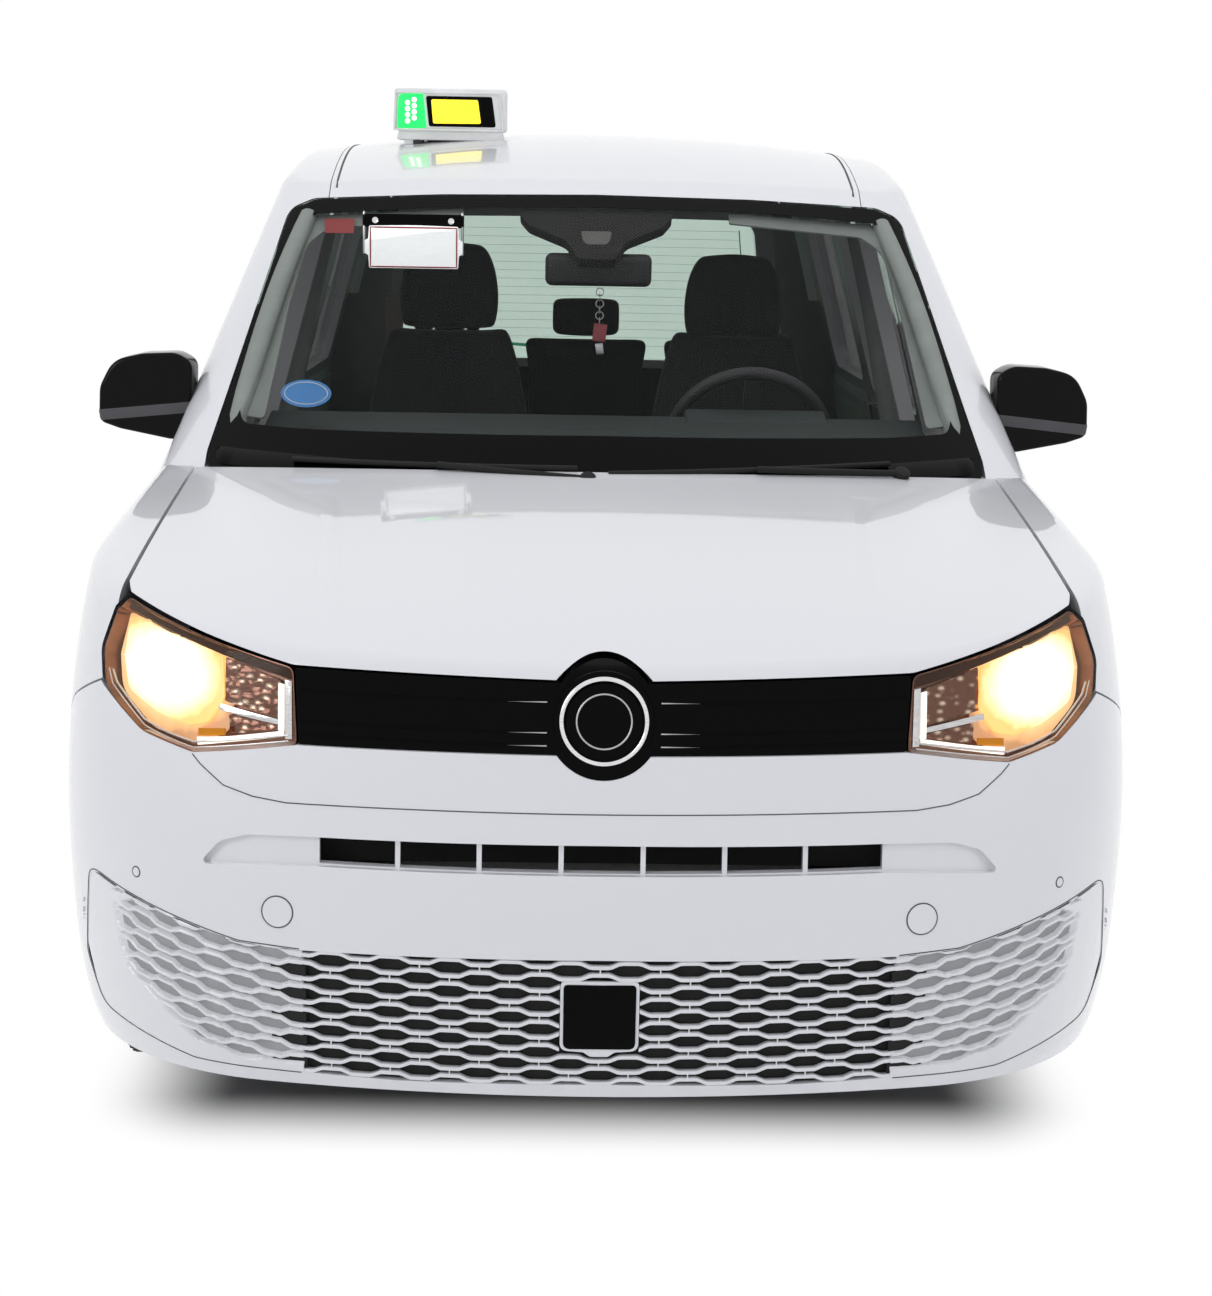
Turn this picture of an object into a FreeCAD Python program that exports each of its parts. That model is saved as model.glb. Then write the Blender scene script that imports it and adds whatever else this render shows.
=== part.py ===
import FreeCAD, Part
import math
import os
import Sketcher
from FreeCAD import Placement, Rotation, Vector

os.makedirs("parts", exist_ok=True)
doc = FreeCAD.newDocument("taxi_cab")

# Driving dimensions in millimetres.  Every other place and size follows from these.
DRIVING = [
    # alias, value, what it is
    ("body_length", 4500, "front bumper to tailgate"),
    ("body_width", 1854, "across the doors, without the mirrors"),
    ("body_height", 1816, "ground to the top of the roof skin"),
    ("tyre_radius", 326, "ground to wheel centre"),
    ("tyre_width", 205, "across the tread"),
    ("rim_radius", 203, "bead seat of the wheel rim"),
    ("hinged_gap", 8, "slot beside a door that swings"),
    ("panel_gap", 4, "slot between fixed panels"),
    ("door_thickness", 60, "doors, tailgate and side frame below the belt line"),
    ("frame_thickness", 45, "window frames and pillars above the belt line"),
    ("skin_thickness", 30, "wings, bonnet, bumper and roof"),
    ("glass_thickness", 6, "every window"),
    ("steering_wheel_radius", 185, "steering wheel rim"),
    ("sign_length", 272, "roof sign, side to side"),
    ("sign_height", 100, "roof sign box"),
]
sheet = doc.addObject("Spreadsheet::Sheet", "driving_dimensions")
sheet.Label = "driving dimensions"
for row, (alias, value, meaning) in enumerate(DRIVING, start=1):
    sheet.set(f"A{row}", alias)
    sheet.set(f"B{row}", str(value))
    sheet.set(f"C{row}", meaning)
    sheet.setAlias(f"B{row}", alias)
doc.recompute()
size = {alias: float(sheet.get(alias)) for alias, value, meaning in DRIVING}

# The tables below are written for a body of these overall sizes, and are stretched from them.
ALONG = size["body_length"] / 4500
ACROSS = size["body_width"] / 1854
UP = size["body_height"] / 1816
MIDDLE = 2250                       # table distance from the front bumper to the origin
BELT = 1085                         # height of the belt line in the tables
TYRE_R = size["tyre_radius"]
TYRE_W = size["tyre_width"]
RIM_R = size["rim_radius"]
HINGED = size["hinged_gap"]
GAP = size["panel_gap"]
DOOR_T = size["door_thickness"]
FRAME_T = size["frame_thickness"]
SKIN_T = size["skin_thickness"]
GLASS_T = size["glass_thickness"]
SEAT = 0.3                          # air between pieces that rest on each other
FRONT_AXLE = 885                    # table distance of the front wheels from the bumper
REAR_AXLE = 3640
FRONT_WHEEL_X = 785                 # wheel centre from the middle plane
REAR_WHEEL_X = 800
KINGPIN_X = 740
ARCH_R = TYRE_R + 49
LINER_R = TYRE_R + 52
LINER_T = 8
ARCH_INNER_X = 493
TAPER = 0.2                         # how much a door edge widens outward


def at(x, s, z):
    """A table point (from the middle, behind the bumper, above the ground) in the shared frame."""
    return Vector(x * ACROSS, (s - MIDDLE) * ALONG, z * UP)


def along(s):
    return (s - MIDDLE) * ALONG


# ------------------------------------------------------------------ the body surface
# Plan sections of the lower body: height, front, front radius, front corner radius,
# half width, rear, rear radius, rear corner radius.
LOWER = [
    (190, 50, 2600, 430, 850, 4455, 5000, 180),
    (300, 14, 2500, 440, 900, 4490, 5000, 190),
    (480, 0, 2400, 450, 920, 4500, 5000, 200),
    (640, 8, 2400, 460, 927, 4496, 5000, 200),
    (800, 35, 2400, 500, 927, 4486, 5000, 190),
    (930, 62, 2300, 560, 920, 4476, 5000, 180),
    (1085, 110, 2200, 620, 893, 4462, 5000, 170),
    (1170, 150, 2200, 640, 870, 4455, 5000, 160),
]
# Plan sections of the windowed upper body, same columns.
UPPER = [
    (1085, 912, 1700, 105, 893, 4462, 5000, 170),
    (1400, 1397, 1750, 115, 807.3, 4415, 5000, 160),
    (1651, 1800, 2350, 120, 739, 4345, 5000, 150),
    (1900, 2210, 2900, 140, 671.3, 4240, 5000, 140),
]
# Crowns: distance behind the bumper, height in the middle, drop at one metre to the side.
BONNET_CROWN = [
    (-120, 835, 30),
    (60, 925, 30),
    (330, 1012, 45),
    (700, 1088, 60),
    (1005, 1138, 70),
    (1450, 1210, 75),
]
ROOF_CROWN = [
    (900, 1330, 85),
    (1813, 1672, 85),
    (2060, 1758, 95),
    (2300, 1803, 100),
    (2800, 1816, 105),
    (3600, 1806, 105),
    (4700, 1745, 105),
]


def plan_section(row, inset):
    """A closed outline of three-centred arcs, pulled in by the inset."""
    z, front, front_r, corner_r, half, rear, rear_r, rear_corner_r = row
    front = front + inset
    rear = rear - inset
    half = half - inset / ACROSS
    corner_r = max(corner_r - inset, 30)
    rear_corner_r = max(rear_corner_r - inset, 30)

    def corner(end_r, r):
        centre_x = half - r
        behind = end_r - math.sqrt((end_r - r) ** 2 - centre_x ** 2)
        meet_x = centre_x * end_r / (end_r - r)
        meet_s = end_r - (end_r - behind) * end_r / (end_r - r)
        turn = math.atan2(-(end_r - behind), centre_x) / 2
        return meet_x, meet_s, centre_x + r * math.cos(turn), behind + r * math.sin(turn), behind

    ax, ay, mx, my, ac = corner(front_r, corner_r)
    bx, by, nx, ny, bc = corner(rear_r, rear_corner_r)

    def arc(first, second, third):
        return Part.Arc(at(*first, z), at(*second, z), at(*third, z)).toShape()

    return Part.Wire([
        arc((-ax, front + ay), (0, front), (ax, front + ay)),
        arc((ax, front + ay), (mx, front + my), (half, front + ac)),
        Part.makeLine(at(half, front + ac, z), at(half, rear - bc, z)),
        arc((half, rear - bc), (nx, rear - ny), (bx, rear - by)),
        arc((bx, rear - by), (0, rear), (-bx, rear - by)),
        arc((-bx, rear - by), (-nx, rear - ny), (-half, rear - bc)),
        Part.makeLine(at(-half, rear - bc, z), at(-half, front + ac, z)),
        arc((-half, front + ac), (-mx, front + my), (-ax, front + ay)),
    ])


def crown(table, inset):
    """Everything under an arched surface."""
    sections = []
    for s, middle, drop in table:
        top = middle - inset / UP
        side = top - drop
        sections.append(Part.Wire([
            Part.Arc(at(1000, s, side), at(0, s, top), at(-1000, s, side)).toShape(),
            Part.makeLine(at(-1000, s, side), at(-1000, s, -50)),
            Part.makeLine(at(-1000, s, -50), at(1000, s, -50)),
            Part.makeLine(at(1000, s, -50), at(1000, s, side)),
        ]))
    return Part.makeLoft(sections, True, False)


def slab(s0, s1, z0, z1, x0=-1200, x1=1200):
    low = at(x0, s0, z0)
    high = at(x1, s1, z1)
    return Part.makeBox(high.x - low.x, high.y - low.y, high.z - low.z, low)


def rounded(shape, wanted, radii):
    """Round the edges that are wanted, with the first radius that the surfaces allow."""
    for radius in radii:
        try:
            result = shape.makeFillet(radius, wanted)
            if result.isValid() and result.Volume > 0:
                return result
        except Part.OCCError:
            pass
    return shape


def long_edges(shape, test):
    return [edge for edge in shape.Edges if test(edge.BoundBox)]


made = {}


def front_body(inset, round_top=False):
    """The nose: wings, bonnet, bumper and lamps are cut from this."""
    key = ("front", inset, round_top)
    if key not in made:
        whole = Part.makeLoft([plan_section(row, inset) for row in LOWER], True, False)
        shape = whole.common(crown(BONNET_CROWN, inset)).common(slab(-100, 1440, 100, 1300))
        if round_top:
            limit = along(1430)
            wanted = long_edges(shape, lambda box: box.ZMin > 900 * UP and box.ZMax < 1166 * UP
                                and box.YMax < limit)
            shape = rounded(shape, wanted, (45, 35, 25, 20))
        made[key] = shape
    return made[key]


def lower_body(inset):
    """The body below the belt line."""
    key = ("lower", inset)
    if key not in made:
        whole = Part.makeLoft([plan_section(row, inset) for row in LOWER], True, False)
        made[key] = whole.common(slab(-100, 4700, 100, BELT))
    return made[key]


def upper_body(inset):
    """The windowed body above the belt line."""
    key = ("upper", inset)
    if key not in made:
        whole = Part.makeLoft([plan_section(row, inset) for row in UPPER], True, False)
        shape = whole.common(crown(ROOF_CROWN, inset))
        if inset == 0:
            wanted = long_edges(shape, lambda box: box.ZMin > 1560 * UP
                                and box.ZMax - box.ZMin < 400)
            shape = rounded(shape, wanted, (50, 45, 40))
        made[key] = shape
    return made[key]


# ------------------------------------------------------------------ outlines and prisms
def ring(points, grow):
    """Tangent points of a rounded polygon moved outward by grow.  Points are (a, b, radius)."""
    count = len(points)
    area = sum(points[i][0] * points[(i + 1) % count][1] - points[(i + 1) % count][0] * points[i][1]
               for i in range(count))
    turn = 1 if area > 0 else -1
    sides = []
    for i in range(count):
        ax, ay = points[i][:2]
        bx, by = points[(i + 1) % count][:2]
        length = math.hypot(bx - ax, by - ay)
        dx, dy = (bx - ax) / length, (by - ay) / length
        sides.append((ax + dy * turn * grow, ay - dx * turn * grow, dx, dy, length))
    corners = []
    for i in range(count):
        ax, ay, adx, ady, alen = sides[i - 1]
        bx, by, bdx, bdy, blen = sides[i]
        cross = adx * bdy - ady * bdx
        if abs(cross) < 0.001:
            corners.append([(bx, by)])
            continue
        t = ((bx - ax) * bdy - (by - ay) * bdx) / cross
        vx, vy = ax + adx * t, ay + ady * t
        if points[i][2] == 0:
            corners.append([(vx, vy)])
            continue
        bend = math.atan2(cross, adx * bdx + ady * bdy)
        radius = points[i][2] + (grow if bend * turn > 0 else -grow)
        reach = min(max(radius, 1.5) * math.tan(abs(bend) / 2), 0.45 * min(alen, blen))
        radius = reach / math.tan(abs(bend) / 2)
        mx, my = bdx - adx, bdy - ady
        m = math.hypot(mx, my)
        away = radius / math.cos(bend / 2) - radius
        corners.append([(vx - adx * reach, vy - ady * reach),
                        (vx + mx / m * away, vy + my / m * away),
                        (vx + bdx * reach, vy + bdy * reach)])
    return corners


PLACE = {
    "side": (lambda a, b, c: Vector(c, a, b), ALONG, UP, MIDDLE),
    "front": (lambda a, b, c: Vector(a, c, b), ACROSS, UP, 0),
    "plan": (lambda a, b, c: Vector(a, b, c), ACROSS, ALONG, 0),
}


def outline(view, points, grow, depth):
    """A wire: side outlines are (s, z), front outlines (x, z), plan outlines (x, s)."""
    place, scale_a, scale_b, shift = PLACE[view]
    shift_b = MIDDLE if view == "plan" else 0
    real = [((a - shift) * scale_a, (b - shift_b) * scale_b, r) for a, b, r in points]
    corners = ring(real, grow)
    edges = []
    for i, corner in enumerate(corners):
        if len(corner) == 3:
            edges.append(Part.Arc(*[place(p[0], p[1], depth) for p in corner]).toShape())
        follow = corners[(i + 1) % len(corners)]
        start = place(corner[-1][0], corner[-1][1], depth)
        end = place(follow[0][0], follow[0][1], depth)
        if (end - start).Length > 0.001:
            edges.append(Part.makeLine(start, end))
    return Part.Wire(edges)


def prism(view, points, grow, start, end, taper=0, reference=None):
    """A solid between two depths.  With a taper it widens away from the reference depth."""
    if taper == 0:
        direction = PLACE[view][0](0, 0, end - start)
        return Part.Face(outline(view, points, grow, start)).extrude(direction)
    wires = [outline(view, points, grow + taper * (depth - reference), depth)
             for depth in (start, end)]
    return Part.makeLoft(wires, True, True)


def both_sides(half):
    """A front outline drawn for the left half only, closed by its mirror image."""
    return half + [(-x, z, r) for x, z, r in reversed(half) if x != 0]


def mirrored(shape):
    return shape.mirror(Vector(0, 0, 0), Vector(1, 0, 0))


def shell(tool, outer, inner_low, inner_up):
    """The body wall inside a tool, with its own thickness below and above the belt line."""
    low = lower_body(outer).common(tool).cut(lower_body(inner_low))
    up = upper_body(outer).common(tool).cut(upper_body(inner_up))
    return low.fuse(up).removeSplitter()


def biggest(shape):
    """The largest solid, for when a cut leaves crumbs."""
    return max(shape.Solids, key=lambda solid: solid.Volume)


# ------------------------------------------------------------------ outlines of the panels
LAMP = [(482, 796, 12), (654, 771, 30), (745, 790, 60), (826, 842, 40), (836, 900, 40),
        (812, 968, 20), (790, 988, 12), (640, 952, 80), (490, 918, 14)]
GRILLE = [(0, 795, 0), (482, 796, 8), (490, 918, 8), (0, 908, 0)]
ABOVE_BUMPER = [(0, 795, 0), (482, 796, 4), (654, 771, 30), (745, 790, 60), (826, 842, 20),
                (860, 870, 10), (860, 1300, 0), (0, 1300, 0)]
BONNET_FRONT = [(0, 908, 0), (490, 918, 60), (640, 952, 80), (790, 988, 12), (812, 1006, 20),
                (826, 1300, 0), (0, 1300, 0)]
LOWER_GRILLE = [(0, 475, 0), (477, 471, 80), (576, 477, 60), (847, 545, 22), (862, 382, 60),
                (830, 307, 40), (656, 268, 60), (321, 260, 40), (0, 264, 0)]
WINDSCREEN = [(0, 1106, 0), (786, 1106, 10), (787, 1140, 30), (696, 1622, 45), (640, 1646, 60),
              (350, 1659, 0), (0, 1664, 0)]
SLOT = [(0, 660, 0), (449, 657, 0), (560, 654, 60), (606, 640, 30), (641, 600, 6), (600, 602, 60),
        (441, 611, 0), (0, 612, 0)]
BADGE_Z = 850                       # centre of the round badge on the nose
BADGE_SEAT_R = 90
BONNET_PLAN = [(-806, 1240, 0), (-803, -60, 0), (803, -60, 0), (806, 1240, 0)]
BUMPER_SIDE = [(-60, 238, 0), (-60, 860, 0), (296, 860, 6), (425, 800, 60), (640, 606, 0),
               (700, 500, 0), (700, 238, 0)]
WING_SIDE = [(290, 1300, 0), (296, 860, 6), (425, 800, 60), (640, 606, 0), (700, 500, 0),
             (700, 280, 0), (1287, 280, 0), (1287, 1300, 0)]
FRONT_DOOR = [(1295, 286, 40), (2319, 286, 30), (2317, 720, 0), (2317, 900, 0), (2324, 1085, 0),
              (2356, 1711, 30), (2250, 1711, 200), (2085, 1676, 300), (1885, 1572, 200), (1318, 1156, 60),
              (1295, 1085, 60)]
SLIDING_DOOR = [(2323, 286, 30), (3296, 286, 30), (3300, 1085, 0), (3335, 1711, 40),
                (2286, 1711, 30), (2318, 1085, 0), (2325, 900, 0), (2325, 720, 0)]
FRONT_WINDOW = [(1475, 1128, 30), (2256, 1128, 30), (2262, 1618, 45), (2120, 1604, 200),
                (1940, 1516, 200), (1480, 1195, 30)]
SLIDING_WINDOW = [(2376, 1128, 35), (3228, 1128, 35), (3222, 1618, 45), (2372, 1618, 45)]
QUARTER_WINDOW = [(3392, 1140, 60), (4085, 1140, 60), (4040, 1600, 60), (3388, 1616, 50)]
TAILGATE = [(0, 480, 0), (704, 480, 50), (704, 1085, 0), (640, 1640, 60), (600, 1950, 0),
            (0, 1950, 0)]
REAR_WINDOW = [(0, 1128, 0), (622, 1128, 60), (560, 1600, 60), (0, 1606, 0)]
TAIL_LIGHT = [(712, 800, 20), (960, 800, 0), (960, 1330, 0), (684, 1330, 20), (710, 1085, 0)]
ROOF_HALF_WIDTH = 606
ROOF_REAR = 4212

LAMP_S = (along(-80), along(520))
FRONT_S = (along(-80), along(1400))


def front_prism(half, grow, depth=FRONT_S, sides=True):
    points = both_sides(half) if sides else half
    return prism("front", points, grow, depth[0], depth[1])


def side_prism(points, grow, near=350, far=1100):
    return prism("side", points, grow, near * ACROSS, far * ACROSS)


def door_prism(points, grow):
    return prism("side", points, grow, 620 * ACROSS, 1000 * ACROSS, TAPER, 927 * ACROSS)


def arch(s, radius, x0=ARCH_INNER_X, x1=1100):
    base = Vector(x0 * ACROSS, along(s), TYRE_R)
    return Part.makeCylinder(radius, (x1 - x0) * ACROSS, base, Vector(1, 0, 0))


shapes = {}      # node name -> computed shape

# ------------------------------------------------------------------ nose
nose = front_body(0, True)
nose_skin = nose.cut(front_body(SKIN_T))
windscreen_side = upper_body(-10)

bonnet = nose_skin.common(front_prism(BONNET_FRONT, -HINGED / 2 + 1))
bonnet = bonnet.common(prism("plan", BONNET_PLAN, -HINGED / 2 + 1, 700 * UP, 1400 * UP))
# the bonnet also stays clear of the pillar feet, straight down from the belt line
foot = Part.Face(plan_section((BELT - 80,) + UPPER[0][1:], -10)).extrude(Vector(0, 0, 81 * UP))
shapes["bonnet"] = biggest(bonnet.cut(windscreen_side).cut(foot))



def badge_room(radius):
    return Part.makeCylinder(radius, 300, at(0, -80, BADGE_Z), Vector(0, 1, 0))


shapes["bonnet"] = biggest(shapes["bonnet"].cut(badge_room(BADGE_SEAT_R + HINGED)))
lamp = front_body(1, True).cut(front_body(60))
lamp = lamp.common(front_prism(LAMP, -GAP / 2, LAMP_S, sides=False))
shapes["left_headlight"] = biggest(lamp)

grille = front_body(6, True).cut(front_body(36))
grille = grille.common(front_prism(GRILLE, -GAP / 2, LAMP_S))
badge_seat = front_body(2, True).cut(front_body(36)).common(badge_room(BADGE_SEAT_R))
shapes["radiator_grille"] = biggest(grille.fuse(badge_seat).removeSplitter())

bumper = nose_skin.common(prism("side", BUMPER_SIDE, -GAP / 2, -1000 * ACROSS, 1000 * ACROSS))
bumper = bumper.cut(front_prism(ABOVE_BUMPER, SEAT - GAP / 2))
bumper = bumper.cut(front_prism(LOWER_GRILLE, 1.5))
for side in (1, -1):
    hole = arch(FRONT_AXLE, ARCH_R)
    bumper = bumper.cut(hole if side == 1 else mirrored(hole))
bumper = bumper.cut(badge_room(BADGE_SEAT_R + SEAT))
bumper = bumper.cut(front_prism(SLOT, 0).cut(front_body(13)))
slot_pitch = 898 / 7
for i in range(7):
    middle = (i - 3) * slot_pitch
    bumper = bumper.cut(slab(-60, 200, 613, 657, middle - slot_pitch / 2 + 4,
                             middle + slot_pitch / 2 - 4))
shapes["front_bumper"] = biggest(bumper)

mesh = front_body(14).cut(front_body(14 + SKIN_T)).common(front_prism(LOWER_GRILLE, 1.2))
shapes["lower_grille"] = biggest(mesh)

wing = nose_skin.common(side_prism(WING_SIDE, -GAP / 2, 500, 1100))
wing = wing.common(slab(-100, 1400, 100, 1400, 809, 1200))
wing = wing.cut(front_prism(LAMP, GAP / 2, LAMP_S, sides=False))
wing = wing.cut(upper_body(-GAP)).cut(arch(FRONT_AXLE, ARCH_R))
wing_foot = Part.Face(plan_section((BELT - 3,) + UPPER[0][1:], -GAP)).extrude(Vector(0, 0, 4 * UP))
wing = wing.cut(wing_foot).cut(lower_body(SKIN_T).common(slab(1180, 1300, 900, BELT + 1)))
shapes["left_front_wing"] = biggest(wing)

# ------------------------------------------------------------------ glass of the body
shapes["windscreen"] = biggest(upper_body(2).cut(upper_body(2 + GLASS_T))
                               .common(front_prism(WINDSCREEN, 0, (along(800), along(2000)))))


def pane(points):
    glass = upper_body(12).cut(upper_body(12 + GLASS_T))
    return biggest(glass.common(side_prism(points, 0, 500, 1000)))


shapes["left_quarter_window"] = pane(QUARTER_WINDOW)
shapes["left_door_glass"] = pane(FRONT_WINDOW)
shapes["left_sliding_glass"] = pane(SLIDING_WINDOW)

# ------------------------------------------------------------------ doors
front_door = shell(door_prism(FRONT_DOOR, 0), 0, DOOR_T, FRAME_T)
front_door = front_door.cut(side_prism(FRONT_WINDOW, 0, 500))
shapes["left_front_door"] = biggest(front_door)

sliding = shell(door_prism(SLIDING_DOOR, 0), 0, DOOR_T, FRAME_T)
sliding = sliding.cut(side_prism(SLIDING_WINDOW, 0, 500)).cut(arch(REAR_AXLE, ARCH_R + GAP))
shapes["left_sliding_door"] = biggest(sliding)

# ------------------------------------------------------------------ side frame
WALL = DOOR_T + 2
low_wall = lower_body(0).cut(lower_body(WALL)).common(slab(1287 + GAP / 2, 4600, 195, BELT, 400))
hinge_post = lower_body(SKIN_T + SEAT).cut(lower_body(100))
hinge_post = hinge_post.common(slab(1190, 1283, 262, BELT, 400))
up_wall = upper_body(0).cut(upper_body(FRAME_T)).common(
    slab(900, 4600, BELT, 2000, ROOF_HALF_WIDTH + GAP / 2))
frame = low_wall.fuse(hinge_post).fuse(up_wall)
frame = frame.cut(door_prism(FRONT_DOOR, HINGED)).cut(door_prism(SLIDING_DOOR, GAP))
frame = frame.cut(slab(2290, 2350, 300, 1700, 600))
frame = frame.cut(side_prism(QUARTER_WINDOW, 0, 500))
frame = frame.cut(arch(REAR_AXLE, ARCH_R)).cut(arch(FRONT_AXLE, LINER_R + LINER_T + 1))
frame = frame.cut(front_prism(WINDSCREEN, SEAT, (along(800), along(2000))))
frame = frame.cut(slab(4100, 4600, 100, BELT, 0, 640))
frame = frame.cut(prism("front", both_sides(TAILGATE), HINGED - 2, along(4150), along(4600)))
frame = frame.cut(prism("front", TAIL_LIGHT, SEAT, along(4215) - SEAT, along(4600)))
rear_bumper_side = [(4030, 190, 0), (4030, 500, 20), (4300, 516, 0), (4330, 474, 10),
                    (4600, 474, 0), (4600, 190, 0)]
frame = frame.cut(prism("side", rear_bumper_side, SEAT, 300 * ACROSS, 1100 * ACROSS))
pillar_low = lower_body(DOOR_T + 7).cut(lower_body(DOOR_T + 45)).common(
    slab(2275, 2365, 250, BELT, 400))
pillar_up = upper_body(DOOR_T + 7).cut(upper_body(DOOR_T + 45)).common(
    slab(2275, 2365, BELT, 1720, 400))
latch = lower_body(DOOR_T + SEAT).cut(lower_body(DOOR_T + 20)).common(
    slab(2280, 2300, 880, 940, 400))
sill_inner = lower_body(40).cut(lower_body(DOOR_T + 45)).common(slab(1300, 3240, 200, 262, 400))
sill_inner = sill_inner.cut(arch(REAR_AXLE, LINER_R + LINER_T + 1))
sill_inner = sill_inner.cut(arch(FRONT_AXLE, LINER_R + LINER_T + 1))
rail_inner = upper_body(30).cut(upper_body(DOOR_T + 45)).common(
    slab(2250, 2390, 1716, 1800, ROOF_HALF_WIDTH + GAP / 2))
frame = frame.fuse([pillar_low, pillar_up, sill_inner, rail_inner, latch]).removeSplitter()
shapes["left_side_frame"] = biggest(frame)

# ------------------------------------------------------------------ roof, tailgate, rear bumper
roof = upper_body(0).cut(upper_body(SKIN_T)).common(
    slab(1500, ROOF_REAR, 1500, 2000, -ROOF_HALF_WIDTH, ROOF_HALF_WIDTH))
roof = roof.cut(front_prism(WINDSCREEN, SEAT, (along(800), along(2000))))
shapes["roof_panel"] = biggest(roof)

gate = shell(prism("front", both_sides(TAILGATE), 0, along(ROOF_REAR + HINGED + 1.5),
                   along(4600)), 0, WALL, WALL)
gate = gate.cut(prism("front", both_sides(REAR_WINDOW), 0, along(4200), along(4600)))
shapes["tailgate"] = biggest(gate)
shapes["tailgate_glass"] = biggest(upper_body(10).cut(upper_body(10 + GLASS_T)).common(
    prism("front", both_sides(REAR_WINDOW), 0, along(4200), along(4600))))

light = shell(prism("front", TAIL_LIGHT, 0, along(4180), along(4600)), 0.5, WALL, FRAME_T)
shapes["left_tail_light"] = biggest(light.common(slab(4215, 4600, 0, 2000)))

rear = lower_body(0).cut(lower_body(WALL)).common(
    prism("side", rear_bumper_side, 0, -1100 * ACROSS, 1100 * ACROSS))
for side in (1, -1):
    hole = arch(REAR_AXLE, ARCH_R + 10)
    rear = rear.cut(hole if side == 1 else mirrored(hole))
shapes["rear_bumper"] = biggest(rear)

# ------------------------------------------------------------------ floor and front structure
inner = lower_body(WALL + SEAT)
front_inner = front_body(SKIN_T + SEAT)
cabin_floor = slab(1170, 3230, 262, 288).common(inner)
step = slab(3206, 3230, 262, 500).common(inner)
boot_floor = slab(3206, 4390, 474, 500).common(inner)
boot_floor = boot_floor.cut(slab(4360, 4400, 400, 600, 560, 900))
boot_floor = boot_floor.cut(slab(4360, 4400, 400, 600, -900, -560))
# a tongue that the closed tailgate rests against, and two posts under the closed bonnet
tongue = slab(4370, 4460, 474, 500, -60, 60).common(inner)
bulkhead = slab(1166, 1190, 262, 1060, -740, 740)
cowl_tray = slab(1010, 1190, 1040, 1064, -740, 740)
pieces = [step, boot_floor, tongue, bulkhead, cowl_tray]
for side in (1, -1):
    x0, x1 = (380, 460) if side == 1 else (-460, -380)
    pieces.append(slab(100, 1170, 384, 470, x0, x1).common(front_inner))
    pieces.append(slab(1120, 1190, 262, 400, x0, x1))
    post = Part.makeCylinder(12, 700 * UP, at(side * 420, 230, 460))
    pieces.append(post.common(front_inner))
    for s, wall_inset, body in ((FRONT_AXLE, SKIN_T, front_body), (REAR_AXLE, WALL, lower_body)):
        outer = arch(s, LINER_R + LINER_T, ARCH_INNER_X - 8, 940).cut(arch(s, LINER_R))
        # the liner stops short of the outer wall and of the ground
        outer = outer.common(slab(s - 500, s + 500, 300, 1000))
        if s == FRONT_AXLE:
            outer = outer.cut(slab(s - 500, s + 500, 0, 2000, 0, ARCH_INNER_X))
        outer = outer.common(body(wall_inset + SEAT))
        pieces.append(outer if side == 1 else mirrored(outer))
floor = cabin_floor.fuse(pieces)
for side in (1, -1):
    for s in (FRONT_AXLE, REAR_AXLE):
        room = arch(s, LINER_R)
        floor = floor.cut(room if side == 1 else mirrored(room))
floor = floor.cut(arch(REAR_AXLE, 44, -600, 600))
sill_room = lower_body(0).cut(lower_body(DOOR_T + 45 + SEAT))
floor = floor.cut(sill_room.common(slab(1290, 3240, 190, 262 + SEAT)))
floor = floor.cut(sill_room.common(slab(2274, 2366, 190, 400)))
floor = floor.cut(front_body(0).cut(front_body(100 + SEAT)).common(slab(1186, 1290, 255, BELT)))
floor = floor.removeSplitter()
shapes["floor_pan"] = biggest(floor)


# ------------------------------------------------------------------ cabin
DASH_SIDE = [(1192, 742, 0), (1192, 1084, 0), (1320, 1084, 40), (1425, 1052, 30), (1452, 960, 30),
             (1395, 800, 40), (1330, 742, 20)]
WHEEL_CENTRE = (338, 1560, 1137)
WHEEL_LEAN = math.radians(25)
toward_driver = Vector(0, math.cos(WHEEL_LEAN), math.sin(WHEEL_LEAN))
wheel_centre = at(*WHEEL_CENTRE)
dash = prism("side", DASH_SIDE, 0, -900 * ACROSS, 900 * ACROSS).common(
    lower_body(DOOR_T + 45 + SEAT))
column = Part.makeCylinder(26, 180, wheel_centre - toward_driver * (16 + SEAT), -toward_driver)
shapes["dashboard"] = biggest(dash.fuse(column).removeSplitter())

SEAT_SIDE = [(1735, 288.3, 0), (1735, 400, 20), (1690, 430, 30), (1680, 560, 50), (1900, 590, 200),
             (2120, 570, 60), (2225, 990, 300), (2300, 1330, 40), (2390, 1320, 50),
             (2338, 970, 300), (2290, 520, 60), (2200, 430, 40), (2150, 288.3, 0)]
HEADREST_SIDE = [(2310, 1300, 0), (2298, 1365, 20), (2304, 1530, 35), (2388, 1530, 40),
                 (2394, 1385, 25), (2375, 1300, 0)]
seat = prism("side", SEAT_SIDE, 0, 110 * ACROSS, 600 * ACROSS)
headrest = prism("side", HEADREST_SIDE, 0, 225 * ACROSS, 485 * ACROSS)
shapes["driver_seat"] = biggest(seat.fuse(headrest).removeSplitter())
shapes["passenger_seat"] = mirrored(shapes["driver_seat"])

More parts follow.
